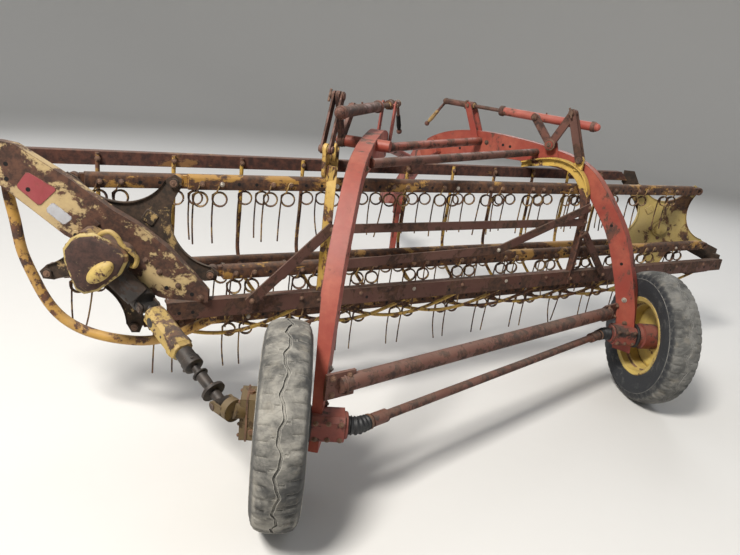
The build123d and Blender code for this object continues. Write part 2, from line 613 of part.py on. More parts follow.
# lift gear: bell crank, link, screw and screw tube on each side
LEFT_PIN = bp(HANG_L[0], BEAM_V, 0) + Vector(-31, -0.35, 0)
RIGHT_PIN = hanger_point(*HANG_R, PIN_S, PIN_Z)
LIFTS = (
    # side, pin x, pin y, heading, lowering of the gear
    ("left", LEFT_PIN.X, LEFT_PIN.Y, 21.0, LIFT_DROP),
    ("right", RIGHT_PIN.X, RIGHT_PIN.Y, HANG_R[1], 0.0),
)


def lift_at(x, y, az, s, z, off):
    """Point in a lift plane, s forward, off to its right."""
    a = radians(az)
    t = s - S_PIN
    return Vector(x + t * sin(a) + off * cos(a), y + t * cos(a) - off * sin(a), z)


def lift_plane(x, y, az, off):
    """Lift plane moved by off to the right: local x is s, local y is up."""
    a = radians(az)
    o = lift_at(x, y, az, 0, 0, off)
    return Plane(origin=o, x_dir=(sin(a), cos(a), 0), z_dir=(cos(a), -sin(a), 0))


def strap(p, q, w):
    """Round-ended strap between two points."""
    d = Vector(q[0] - p[0], q[1] - p[1])
    n = Vector(-d.Y, d.X).normalized() * (w / 2)
    quad = face_of([(p[0] + n.X, p[1] + n.Y), (q[0] + n.X, q[1] + n.Y),
                    (q[0] - n.X, q[1] - n.Y), (p[0] - n.X, p[1] - n.Y)])
    return quad + Pos(*p) * Circle(w / 2) + Pos(*q) * Circle(w / 2)


TUBE_OFF = 50.0           # screw tube beside the bell crank
for side, px, py, az, drop in LIFTS:
    at = lambda s, z, off: lift_at(px, py, az, s, z, off)
    cut = lambda off, face, t: extrude(lift_plane(px, py, az, off) * face, t)
    piv = (S_PIVOT, 1228 + drop)
    t1 = (S_TIP1, 1403 + drop)
    t2 = (S_TIP2, 1357 + drop)
    foot = (S_PIN, 1176)
    bear = (S_BEAR, 1369 + drop)
    # bell crank
    crank = cut(-8, strap(piv, t1, 40) + strap(piv, t2, 40) + Pos(*piv) * Circle(28), 16)
    crank = crank + cut(-8, Pos(*piv) * Circle(26), 26)
    crank = crank + cut(8, Pos(*t2) * Circle(16), TUBE_OFF - 8 - 24.5)
    crank = crank + cut(-16, Pos(*t2) * Circle(17), 8)
    crank = crank - cut(-20, Pos(*piv) * Circle(13.5), 60)
    crank = crank - cut(-20, Pos(*t1) * Circle(10.5), 60)
    save(side + "_bell_crank", crank, RUST)
    # link: two straps beside the crank, joined by the pin in its tip
    link = cut(-21, strap(t1, foot, 38), 8) + cut(13, strap(t1, foot, 38), 8)
    link = link + cut(-34, Pos(*t1) * Circle(10), 60)
    link = link + cut(-29, Pos(*t1) * Circle(15), 8) + cut(21, Pos(*t1) * Circle(15), 4)
    link = link + cut(-29, Pos(*foot) * Circle(14), 8) + cut(21, Pos(*foot) * Circle(14), 8)
    save(side + "_link", link, RUST)
    # screw with its swivel block and crank handle
    ux, uz = t2[0] - bear[0], t2[1] - bear[1]
    n = hypot(ux, uz)
    ux, uz = ux / n, uz / n
    on = lambda d: at(bear[0] + ux * d, bear[1] + uz * d, TUBE_OFF)
    screw = rod(on(-26), on(440), 20)
    screw = screw + rod(on(-22), on(22), 44)
    screw = screw - cut(TUBE_OFF - 30, Pos(*bear) * Circle(8.5), 18)
    screw = screw - cut(TUBE_OFF + 12, Pos(*bear) * Circle(8.5), 18)
    screw = screw + rod(on(-20), on(-180), 34)
    tip = at(bear[0] + 289, bear[1] - 141, TUBE_OFF)
    heel = on(-172)
    screw = screw + rod(heel, tip, 16) + Pos(*on(-176)) * Sphere(17)
    screw = screw + knob(tip, tip - heel, 15)
    save(side + "_screw", screw, RUST)
    # screw tube with the nut at its far end
    tube = pipe(on(215), on(742), 45, 5) + rod(on(198), on(240), 45)
    tube = tube + rod(on(736), on(752), 45) + Pos(*on(752)) * Sphere(20)
    tube = tube - rod(on(190), on(300), 21)
    save(side + "_screw_tube", tube, RED)
    # lug, pivot pin and swivel bracket, carried by the arch
    lug = cut(-16, Pos(*piv) * Circle(21), 6) + cut(-16, Pos(*piv) * Circle(13), 45)
    if side == "right":
        lug = lug + cut(26, strap((595, 1150), piv, 60), 6)
    else:
        lug = lug + cut(20, Pos(*piv) * Circle(24), 190)
    ears = None
    for off, sgn in ((TUBE_OFF - 36, 1), (TUBE_OFF + 28, -1)):
        base = (1085, 1200) if side == "right" else (1128, 1170)
        ear = cut(off, strap(base, bear, 38), 8)
        pin = cut(off + 4 if sgn > 0 else off - 12, Pos(*bear) * Circle(8), 16)
        ears = (ear + pin) if ears is None else ears + ear + pin
    save(side + "_lift_mounts", Compound(children=[lug, ears]), RED)

# lug on top of the left hanger, in the left lift plane
lx, ly, laz = LIFTS[0][1:4]
lug = extrude(lift_plane(lx, ly, laz, -8) * strap((S_PIN + 8, 1085), (S_PIN, 1176), 44), 16)
lug = lug + extrude(lift_plane(lx, ly, laz, -12.4) * (Pos(S_PIN, 1176) * Circle(18)), 24.8)
lug = lug + flat(hanger_point(*HANG_L, 10, 1080, 8), lift_at(lx, ly, laz, S_PIN + 8, 1085, 0), 30, 60)
left_hanger = hl + lug
save("left_hanger", left_hanger, YELLOW)
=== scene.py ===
"""Looks of a towed side-delivery bar rake: faded paint, rust, spring teeth and tyres."""

import logging
import math
import random
from dataclasses import dataclass
from enum import Enum

import bpy
from mathutils import Matrix, Vector


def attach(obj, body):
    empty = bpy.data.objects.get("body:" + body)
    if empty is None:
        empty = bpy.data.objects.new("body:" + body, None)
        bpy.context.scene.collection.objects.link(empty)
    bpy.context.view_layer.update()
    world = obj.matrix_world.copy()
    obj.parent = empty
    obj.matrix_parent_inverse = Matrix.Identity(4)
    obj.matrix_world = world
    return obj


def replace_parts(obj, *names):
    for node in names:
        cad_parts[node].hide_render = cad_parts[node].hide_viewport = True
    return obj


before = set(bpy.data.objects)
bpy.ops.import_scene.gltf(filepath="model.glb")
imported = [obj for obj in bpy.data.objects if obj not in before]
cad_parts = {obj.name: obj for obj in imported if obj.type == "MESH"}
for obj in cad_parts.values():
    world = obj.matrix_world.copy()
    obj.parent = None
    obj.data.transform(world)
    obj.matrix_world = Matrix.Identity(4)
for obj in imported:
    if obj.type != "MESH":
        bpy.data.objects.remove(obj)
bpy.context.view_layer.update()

logging.basicConfig(level=logging.INFO, format="%(message)s")
LOG = logging.getLogger("bar_rake")

Point = tuple[float, float, float]
Colour = tuple[float, float, float]
Plane = tuple[float, float, float, float]
Socket = bpy.types.NodeSocket

# The machine's own sizes, in millimetres, from the ground point midway between the tyres.
# ORIGIN is where the shared frame's origin lies.
MM = 0.001
ORIGIN = Vector((-148.4, 1200.0, 0.0))
TRACK_HALF, STAGGER_HALF = 929.0, 495.0
TYRE_R = HUB_Z = 345.0

# The reel: the slant of its bars, its left head's centre, the bars' circle and the arms' angles
SLANT = math.radians(24.4)
CA, SA = math.cos(SLANT), math.sin(SLANT)
REEL = Vector((-1546.0, -13.0, 757.0))
BAR_LEN, REEL_R = 3172.0, 310.0
ARM_ANGLES, PHASE = (-90, -18, 54, 126, 198), 4.3

# Strippers and spring teeth: the first of each along the bars, then pitch, count and wire
STRIP_FIRST, STRIP_PITCH, STRIP_COUNT = 266.0, 278.0, 11
TOOTH_FIRST, TOOTH_HALF, TOOTH_LEG = 127.0, 37.0, 245.0
COIL_R, COIL_DROP, WIRE_R = 30.0, 66.0, 3.4

# The lift gear's pivots along its plane, and the rear beam's place in the basket
S_PIN, S_TIP1, S_PIVOT, S_TIP2, S_BEAR = 440.0, 528.0, 617.0, 730.0, 1163.0
BEAM_V, BEAM_Z = 415.0, -195.0
BEAM_BACK = BEAM_V * SA

# The slanting shaft's two joints, and the direction down it
CASE_JOINT = Vector((-1440.0, -170.0, 585.0))
WHEEL_JOINT = Vector((-1128.0, -495.0, 405.0))
SHAFT_WAY = (0.6433, -0.6701, -0.3711)

X, Y, UP = Vector((1, 0, 0)), Vector((0, 1, 0)), Vector((0, 0, 1))
ALONG, BACK = Vector((CA, SA, 0)), Vector((SA, -CA, 0))


class Side(Enum):
    """The two sides of the machine."""

    LEFT = "left"
    RIGHT = "right"

    @property
    def sign(self) -> int:
        """-1 on the left, 1 on the right."""
        return -1 if self is Side.LEFT else 1


def bar_point(u: float, v: float, z: float) -> Vector:
    """Point in the basket.

    Args:
        u: Distance along the bars from the left head.
        v: Distance to the right of the bar line through the reel centre.
        z: Height above the reel centre.

    Returns:
        The point in the machine's frame, in millimetres.
    """
    return Vector((REEL.x + v + u * CA, REEL.y + u * SA, REEL.z + z))


def square_point(w: float, back: float, z: float) -> Vector:
    """Point w along the bars, back squarely behind the reel axis and z above it."""
    return Vector((REEL.x + w * CA + back * SA, REEL.y + w * SA - back * CA, REEL.z + z))


def arm_angle(index: int) -> float:
    """Angle of one reel arm, in radians."""
    return math.radians(ARM_ANGLES[index] + PHASE)


@dataclass(frozen=True)
class Upright:
    """Upright plane in which an arch, a hanger or a lift gear stands."""

    x: float
    y: float
    heading: float

    @property
    def ahead(self) -> Vector:
        """Level direction ahead in the plane."""
        a = math.radians(self.heading)
        return Vector((math.sin(a), math.cos(a), 0))

    @property
    def across(self) -> Vector:
        """Level direction square to the plane, to its right."""
        a = math.radians(self.heading)
        return Vector((math.cos(a), -math.sin(a), 0))

    def at(self, s: float, z: float, off: float = 0.0) -> Vector:
        """Point at height z, s ahead in the plane and off to its right."""
        return Vector((self.x, self.y, z)) + self.ahead * s + self.across * off


def square_axes(axis: Vector) -> tuple[Vector, Vector]:
    """Two directions square to an axis and to each other."""
    normal = axis.orthogonal().normalized()
    return normal, axis.cross(normal)


def circle(centre: Vector, a: Vector, b: Vector, radius: float, sides: int,
           start: float = 0.0) -> list[Vector]:
    """Points on a circle.

    Args:
        centre: Its centre.
        a: Direction in which it starts.
        b: Direction towards which it turns.
        radius: Its radius.
        sides: Number of points.
        start: Angle of the first point, in radians.

    Returns:
        The points in order.
    """
    angles = (2 * math.pi * k / sides + start for k in range(sides))
    return [centre + radius * (math.cos(t) * a + math.sin(t) * b) for t in angles]


# Node graphs


class Graph:
    """A material's node graph, built from the shader outwards."""

    def __init__(self, name: str) -> None:
        """Start an empty material.

        Args:
            name: Name of the material.
        """
        self.material = bpy.data.materials.new(name)
        self.material.use_nodes = True
        self.tree = self.material.node_tree
        self.tree.nodes.clear()
        self.shader = self.node("BsdfPrincipled", {})
        self.node("OutputMaterial", {0: self.shader.outputs[0]})
        self.coords = self.node("TexCoord", {}).outputs["Object"]

    def node(self, kind: str, sockets: dict[str | int, object],
             **settings: object) -> bpy.types.Node:
        """Add a node.

        Args:
            kind: Its type, without the word Shader.
            sockets: What goes into its inputs: values, or other nodes' sockets.
            settings: Its own properties.

        Returns:
            The node.
        """
        node = self.tree.nodes.new("ShaderNode" + kind)
        for key, value in settings.items():
            setattr(node, key, value)
        for key, value in sockets.items():
            self.feed(node.inputs[key], value)
        return node

    def feed(self, socket: Socket, value: object) -> None:
        """Set a socket to a value, or join it to another socket.

        Args:
            socket: The input.
            value: A value, a colour or another node's socket.
        """
        if isinstance(value, bpy.types.NodeSocket):
            self.tree.links.new(value, socket)
        elif isinstance(value, tuple) and socket.type == "RGBA":
            socket.default_value = (*value, 1.0)
        else:
            socket.default_value = value

    def stretched(self, scale: Point) -> Socket:
        """Object coordinates stretched by a factor along each axis."""
        return self.node("Mapping", {"Vector": self.coords, "Scale": scale}).outputs[0]

    def noise(self, scale: float, detail: float = 5.0, rough: float = 0.6,
              where: Socket | None = None, warp: float = 0.0) -> Socket:
        """Noise from 0 to 1.

        Args:
            scale: Patches per metre.
            detail: Octaves.
            rough: Strength of the finer octaves.
            where: Coordinates, the object's own if left out.
            warp: Distortion.

        Returns:
            The factor socket.
        """
        sockets = {"Vector": where or self.coords, "Scale": scale, "Detail": detail,
                   "Roughness": rough, "Distortion": warp}
        return self.node("TexNoise", sockets).outputs["Fac"]

    def cracks(self, scale: float, where: Socket) -> Socket:
        """Distance to the nearest cell edge of a cracked pattern."""
        return self.node("TexVoronoi", {"Vector": where, "Scale": scale},
                         feature="DISTANCE_TO_EDGE").outputs["Distance"]

    def sum(self, a: object, b: object, kind: str = "ADD") -> Socket:
        """Two values added, or put together by another operation."""
        return self.node("Math", {0: a, 1: b}, operation=kind).outputs[0]

    def part(self, value: object, share: object) -> Socket:
        """A share of a value."""
        return self.sum(value, share, "MULTIPLY")

    def rest(self, value: Socket) -> Socket:
        """1 less a value."""
        return self.sum(1.0, value, "SUBTRACT")

    def step(self, value: Socket, low: float, high: float) -> Socket:
        """Smooth step from 0 at low to 1 at high."""
        return self.node("MapRange", {"Value": value, "From Min": low, "From Max": high},
                         interpolation_type="SMOOTHSTEP").outputs["Result"]

    def mix(self, factor: object, a: object, b: object) -> Socket:
        """Colour between a and b."""
        return self.node("Mix", {0: factor, 6: a, 7: b}, data_type="RGBA").outputs[2]

    def dot(self, a: Socket, b: object) -> Socket:
        """How far two directions agree."""
        return self.node("VectorMath", {0: a, 1: b}, operation="DOT_PRODUCT").outputs["Value"]

    def normal(self) -> Socket:
        """The surface's direction."""
        return self.node("NewGeometry", {}).outputs["Normal"]

    def edges(self, radius: float) -> Socket:
        """1 along sharp edges, 0 on flat faces."""
        bevel = self.node("Bevel", {"Radius": radius}, samples=4)
        return self.step(self.rest(self.dot(bevel.outputs[0], self.normal())), 0.02, 0.22)

    def beyond(self, plane: Plane, soft: float = 0.004) -> Socket:
        """1 beyond a plane, 0 before it.

        Args:
            plane: The plane's normal, and its distance from the origin along it, in metres.
            soft: Width of the change.

        Returns:
            The factor socket.
        """
        return self.step(self.dot(self.coords, plane[:3]), plane[3] - soft, plane[3] + soft)

    def facing(self, axis: Point) -> Socket:
        """1 where a face looks along an axis, either way, and 0 where it looks across it."""
        return self.step(self.sum(self.dot(self.normal(), axis), 0.0, "ABSOLUTE"), 0.70, 0.95)

    def upward(self) -> Socket:
        """How far a face looks up, from 0 to 1."""
        return self.step(self.node("SeparateXYZ", {0: self.normal()}).outputs[2], 0.2, 1.0)

    def finish(self, colour: object, rough: object, height: object, strength: float,
               distance: float) -> bpy.types.Material:
        """Join colour, roughness and bump to the shader.

        Args:
            colour: Base colour.
            rough: Roughness.
            height: Bump height, 0 to 1.
            strength: Bump strength.
            distance: Depth of the bump, in metres.

        Returns:
            The material.
        """
        self.feed(self.shader.inputs["Base Color"], colour)
        self.feed(self.shader.inputs["Roughness"], rough)
        bump = self.node("Bump", {"Strength": strength, "Distance": distance, "Height": height})
        self.feed(self.shader.inputs["Normal"], bump.outputs[0])
        return self.material


def shade(colour: Colour, share: float, lift: float = 0.0) -> Colour:
    """A share of a colour, lifted a little and never past white."""
    return tuple(min(1.0, c * share + lift) for c in colour)


DUST = (0.36, 0.30, 0.24)


@dataclass(frozen=True)
class WornPaint:
    """Faded farm paint with rust breaking through it."""

    name: str
    slot: str
    paint: Colour
    faded: Colour
    rust: Colour = (0.16, 0.075, 0.045)
    deep: Colour = (0.055, 0.032, 0.026)
    wear: float = 0.4
    spots: float = 9.0
    stretch: Point = (1.0, 1.0, 1.0)
    gloss: float = 0.55
    dust: float = 0.22
    broad: float = 0.28
    other: Colour | None = None
    plane: Plane = (0.0, 0.0, 1.0, 9.0)
    foot: Point = (0.0, 0.1, 0.0)

    def score(self, g: Graph, fine: Socket) -> Socket:
        """How far the paint has gone, in patches and specks, at edges and at the foot.

        Args:
            g: The paint's graph.
            fine: Fine grain.

        Returns:
            The score, which the wear is cut from.
        """
        where = g.stretched(self.stretch)
        large = g.noise(2.1, 4.0, 0.55)
        spots = g.noise(self.spots, 9.0, 0.68, where, 0.3)
        score = g.sum(g.part(large, self.broad), g.part(spots, 1.02 - self.broad))
        score = g.sum(score, g.part(fine, 0.10))
        score = g.sum(score, g.part(g.edges(0.006), 0.13))
        low, high, share = self.foot
        if share:
            above = g.beyond((0.0, 0.0, 1.0, (low + high) / 2), (high - low) / 2)
            score = g.sum(score, g.part(g.rest(above), share))
        return score

    def build(self) -> bpy.types.Material:
        """Build the paint's node graph."""
        g = Graph(self.name)
        fine = g.noise(75.0, 6.0, 0.7)
        score = self.score(g, fine)
        cut = 0.80 - 0.42 * self.wear
        bare = g.step(score, cut - 0.015, cut + 0.02)
        stain = g.step(score, cut - 0.12, cut + 0.03)
        paint = g.mix(g.step(g.noise(5.0, 6.0, 0.65), 0.35, 0.68), self.paint, self.faded)
        paint = g.mix(g.part(fine, 0.35), paint, shade(self.paint, 0.55))
        half_rusty = tuple(0.5 * (a + b) for a, b in zip(self.rust, self.paint))
        paint = g.mix(g.part(stain, 0.55), paint, half_rusty)
        rust = g.mix(g.step(g.noise(38.0, 7.0, 0.7), 0.36, 0.64), self.deep, self.rust)
        if self.other:
            paint = g.mix(g.beyond(self.plane), paint, self.other)
            rust = g.mix(g.part(g.beyond(self.plane), 0.75), rust, shade(self.other, 0.5))
        colour = g.mix(bare, paint, rust)
        dusty = g.part(g.part(g.upward(), g.noise(7.0, 4.0)), self.dust)
        colour = g.mix(dusty, colour, DUST)
        rough = g.sum(g.part(bare, 0.9 - self.gloss), g.sum(self.gloss, g.part(fine, 0.12)))
        height = g.sum(g.part(bare, -0.5), g.part(fine, 0.45))
        return g.finish(colour, rough, height, 0.35, 0.0016)


@dataclass(frozen=True)
class BareMetal:
    """Metal with no paint left: rust, grime or bright wear."""

    name: str
    slot: str
    light: Colour
    dark: Colour
    metal: float = 0.0
    rough: float = 0.75
    scale: float = 26.0

    def build(self) -> bpy.types.Material:
        """Build the metal's node graph."""
        g = Graph(self.name)
        patches = g.noise(self.scale, 8.0, 0.66, None, 0.2)
        broad = g.noise(4.0, 4.0)
        grain = g.noise(160.0, 4.0, 0.7)
        tone = g.step(g.sum(g.part(patches, 0.65), g.part(broad, 0.35)), 0.36, 0.64)
        colour = g.mix(tone, self.dark, self.light)
        colour = g.mix(g.part(g.edges(0.004), 0.35), colour, shade(self.light, 1.9, 0.02))
        g.shader.inputs["Metallic"].default_value = self.metal
        rough = g.sum(self.rough - 0.08, g.part(grain, 0.2))
        height = g.sum(g.part(patches, 0.6), g.part(grain, 0.4))
        return g.finish(colour, rough, height, 0.4, 0.0014)


@dataclass(frozen=True)
class OldRubber:
    """Weathered tyre rubber, cracked and dusty."""

    name: str
    slot: str
    grey: Colour
    black: Colour
    wall: Colour

    def build(self) -> bpy.types.Material:
        """Build the rubber's node graph."""
        g = Graph(self.name)
        crack = g.step(g.cracks(60.0, g.stretched((0.3, 1.0, 1.0))), 0.0, 0.06)
        fine = g.noise(140.0, 6.0, 0.7)
        patch = g.noise(9.0, 7.0, 0.65, None, 0.4)
        colour = g.mix(g.step(patch, 0.34, 0.66), self.black, self.grey)
        colour = g.mix(g.part(g.rest(crack), 0.14), colour, (0.02, 0.02, 0.02))
        earth = g.part(g.step(g.noise(21.0, 5.0), 0.5, 0.75), 0.45)
        colour = g.mix(earth, colour, (0.27, 0.24, 0.19))
        scuff = g.part(g.step(g.noise(16.0, 7.0, 0.7, None, 0.6), 0.52, 0.66), 0.55)
        colour = g.mix(g.facing((1.0, 0.0, 0.0)), colour,
                       g.mix(scuff, self.wall, (0.11, 0.108, 0.10)))
        colour = g.mix(g.part(g.edges(0.006), 0.7), colour, shade(self.grey, 1.7))
        height = g.sum(g.part(crack, 0.8), g.part(fine, 0.3))
        return g.finish(colour, 0.88, height, 0.5, 0.0015)


@dataclass(frozen=True)
class PlainFinish:
    """A smooth finish with a little mottling, for floor, holes and rubber boots."""

    name: str
    slot: str
    tone: Colour
    rough: float = 0.8
    mottle: float = 0.08

    def build(self) -> bpy.types.Material:
        """Build the finish's node graph."""
        g = Graph(self.name)
        colour = g.mix(g.part(g.noise(12.0, 5.0), self.mottle), self.tone, shade(self.tone, 0.4))
        return g.finish(colour, self.rough, g.noise(90.0, 4.0), 0.08, 0.001)


Finish = WornPaint | BareMetal | OldRubber | PlainFinish

ARCH_RED = WornPaint(
    "faded_arch_red", "red", (0.26, 0.036, 0.022), (0.39, 0.10, 0.058), wear=0.42, spots=10.0,
    rust=(0.13, 0.05, 0.034), stretch=(1, 1, 0.5), gloss=0.5)
BEAM_RUST = WornPaint(
    "dark_beam_rust", "rust", (0.085, 0.030, 0.021), (0.125, 0.055, 0.038), wear=0.55,
    rust=(0.095, 0.044, 0.026), deep=(0.032, 0.018, 0.013), gloss=0.6)
BAR_OCHRE = WornPaint(
    "bar_rust_over_ochre", "ochre", (0.44, 0.24, 0.045), (0.34, 0.18, 0.05), wear=0.69, spots=12.0,
    rust=(0.115, 0.050, 0.024), deep=(0.036, 0.02, 0.016), stretch=(0.45, 0.45, 1), gloss=0.6)
RAIL_OCHRE = WornPaint(
    "rail_ochre", "ochre", (0.33, 0.18, 0.05), (0.24, 0.12, 0.05), wear=0.74, spots=9.0,
    rust=(0.115, 0.045, 0.03), deep=(0.04, 0.02, 0.017), stretch=(0.45, 0.45, 1))
HOOP_OCHRE = WornPaint(
    "hoop_golden_ochre", "ochre", (0.52, 0.29, 0.055), (0.44, 0.26, 0.085), wear=0.51, spots=17.0,
    rust=(0.13, 0.055, 0.03))
FRAME_CREAM = WornPaint(
    "end_frame_cream", "cream", (0.56, 0.42, 0.20), (0.47, 0.34, 0.18), wear=0.63, spots=8.0,
    rust=(0.105, 0.048, 0.030), deep=(0.042, 0.022, 0.016), stretch=(0.7, 1, 0.7))
STAR_OLIVE = WornPaint(
    "star_olive_cream", "yellow", (0.50, 0.38, 0.12), (0.44, 0.33, 0.14), wear=0.44, spots=8.0,
    rust=(0.15, 0.075, 0.035))
# Left head's plate: at this wear its near-black rust and deep colours cover most of it; this dark
# is partly rust and partly painted shade of the plate.
STAR_BROWN = WornPaint(
    "star_brown_cream", "cream", (0.45, 0.31, 0.12), (0.36, 0.23, 0.10), wear=0.76, spots=9.0,
    rust=(0.060, 0.036, 0.023), deep=(0.024, 0.017, 0.012))
HANGER_YELLOW = WornPaint(
    "hanger_golden_yellow", "yellow", (0.62, 0.37, 0.05), (0.58, 0.42, 0.15), wear=0.46, spots=12.0,
    rust=(0.16, 0.065, 0.03), stretch=(1, 1, 0.4), foot=(0.55, 0.85, 0.10))
STRIP_YELLOW = WornPaint(
    "stripper_yellow", "yellow", (0.60, 0.38, 0.07), (0.50, 0.31, 0.08), wear=0.55, spots=12.0,
    rust=(0.18, 0.08, 0.04))
HANGER_SPOTTED = WornPaint(
    "hanger_rusty_post", "yellow", (0.64, 0.42, 0.08), (0.50, 0.33, 0.08), wear=0.42, spots=13.0,
    rust=(0.13, 0.055, 0.033), deep=(0.04, 0.022, 0.018), foot=(0.93, 1.09, 0.20))
RIM_YELLOW = WornPaint(
    "rim_yellow", "yellow", (0.60, 0.44, 0.11), (0.50, 0.37, 0.13), wear=0.3, spots=14.0)
LIFT_RED = WornPaint(
    "lift_tube_red", "red", (0.31, 0.048, 0.032), (0.42, 0.12, 0.085), wear=0.42, spots=12.0)
LIFT_RUST = WornPaint(
    "lift_gear_rust_red", "rust", (0.115, 0.038, 0.025), (0.16, 0.066, 0.045), wear=0.58,
    spots=14.0, rust=(0.11, 0.05, 0.033), deep=(0.035, 0.02, 0.017))
TUBE_RED = WornPaint(
    "tube_rusty_red", "red", (0.25, 0.048, 0.028), (0.31, 0.095, 0.06), wear=0.54, spots=13.0,
    rust=(0.14, 0.05, 0.032))
AXLE_RED = WornPaint(
    "axle_grimy_red", "red", (0.21, 0.034, 0.024), (0.26, 0.07, 0.048), wear=0.50, spots=12.0,
    rust=(0.085, 0.042, 0.032), deep=(0.02, 0.016, 0.014), other=(0.115, 0.078, 0.034),
    plane=(-1.0, 0.0, 0.0, 0.8316))
HUB_RED = WornPaint(
    "hub_grimy_red", "red", (0.19, 0.032, 0.023), (0.24, 0.07, 0.048), wear=0.5, spots=16.0,
    rust=(0.10, 0.045, 0.03))
CASE_RUST = WornPaint(
    "gear_case_rust", "rust", (0.40, 0.27, 0.10), (0.32, 0.20, 0.09), wear=0.62, spots=14.0,
    rust=(0.13, 0.065, 0.038), deep=(0.05, 0.028, 0.021), other=(0.022, 0.018, 0.016),
    plane=(*SHAFT_WAY, -0.27))
COVER_RUST = WornPaint(
    "gear_cover_brown", "cream", (0.40, 0.30, 0.13), (0.30, 0.20, 0.09), wear=0.72, spots=14.0,
    rust=(0.075, 0.038, 0.030), deep=(0.035, 0.021, 0.018))
GREASE_BLACK = BareMetal(
    "greasy_black_steel", "iron", (0.055, 0.042, 0.034), (0.013, 0.012, 0.012), 0.2, 0.55)
SHAFT_STEEL = BareMetal(
    "shaft_brown_steel", "iron", (0.12, 0.078, 0.058), (0.036, 0.026, 0.022), 0.3, 0.55)
TOOTH_WIRE = WornPaint(
    "tooth_spring_wire", "iron", (0.40, 0.26, 0.08), (0.30, 0.18, 0.07), wear=0.60, spots=20.0,
    rust=(0.13, 0.06, 0.035), deep=(0.04, 0.025, 0.02))
BOLT_STEEL = BareMetal(
    "bolt_rusty_steel", "iron", (0.19, 0.105, 0.065), (0.055, 0.034, 0.026), 0.2, 0.65)
BRIGHT_BOLT = BareMetal(
    "bolt_bright_zinc", "iron", (0.50, 0.46, 0.40), (0.24, 0.20, 0.16), 0.6, 0.45)
TYRE_DUSTY = OldRubber(
    "tyre_dusty_grey", "tyre", (0.30, 0.285, 0.25), (0.042, 0.042, 0.041), (0.070, 0.069, 0.066))
TYRE_DARK = OldRubber(
    "tyre_dark_walled", "tyre", (0.19, 0.186, 0.172), (0.052, 0.052, 0.050), (0.022, 0.024, 0.028))
BOOT_BLACK = PlainFinish("boot_black_rubber", "boot", (0.014, 0.014, 0.015), 0.55)
HOLE_DARK = PlainFinish("hole_dark", "iron", (0.005, 0.004, 0.004), 0.95)
PLATE_RED = WornPaint(
    "bare_red_plate", "red", (0.24, 0.022, 0.030), (0.31, 0.06, 0.065), wear=0.30, spots=30.0)
LABEL_PALE = WornPaint(
    "label_pale_bare", "cream", (0.52, 0.53, 0.56), (0.40, 0.40, 0.42), wear=0.32, spots=30.0)
DOME_YELLOW = WornPaint(
    "gear_dome_yellow", "yellow", (0.56, 0.41, 0.12), (0.44, 0.30, 0.10), wear=0.36, spots=22.0)
DRIVE_YELLOW = WornPaint(
    "drive_housing_yellow", "yellow", (0.50, 0.35, 0.09), (0.40, 0.27, 0.10), wear=0.47, spots=13.0,
    rust=(0.12, 0.06, 0.035), deep=(0.04, 0.025, 0.02))
FLOOR_PALE = PlainFinish("pale_floor", "boot", (0.66, 0.65, 0.63), 0.9, 0.03)

_made: dict[str, bpy.types.Material] = {}


def material(finish: Finish) -> bpy.types.Material:
    """The one material of a finish, built the first time it is asked for.

    Args:
        finish: The finish.

    Returns:
        Its material.
    """
    if finish.name not in _made:
        _made[finish.name] = finish.build()
    return _made[finish.name]


# Mesh building


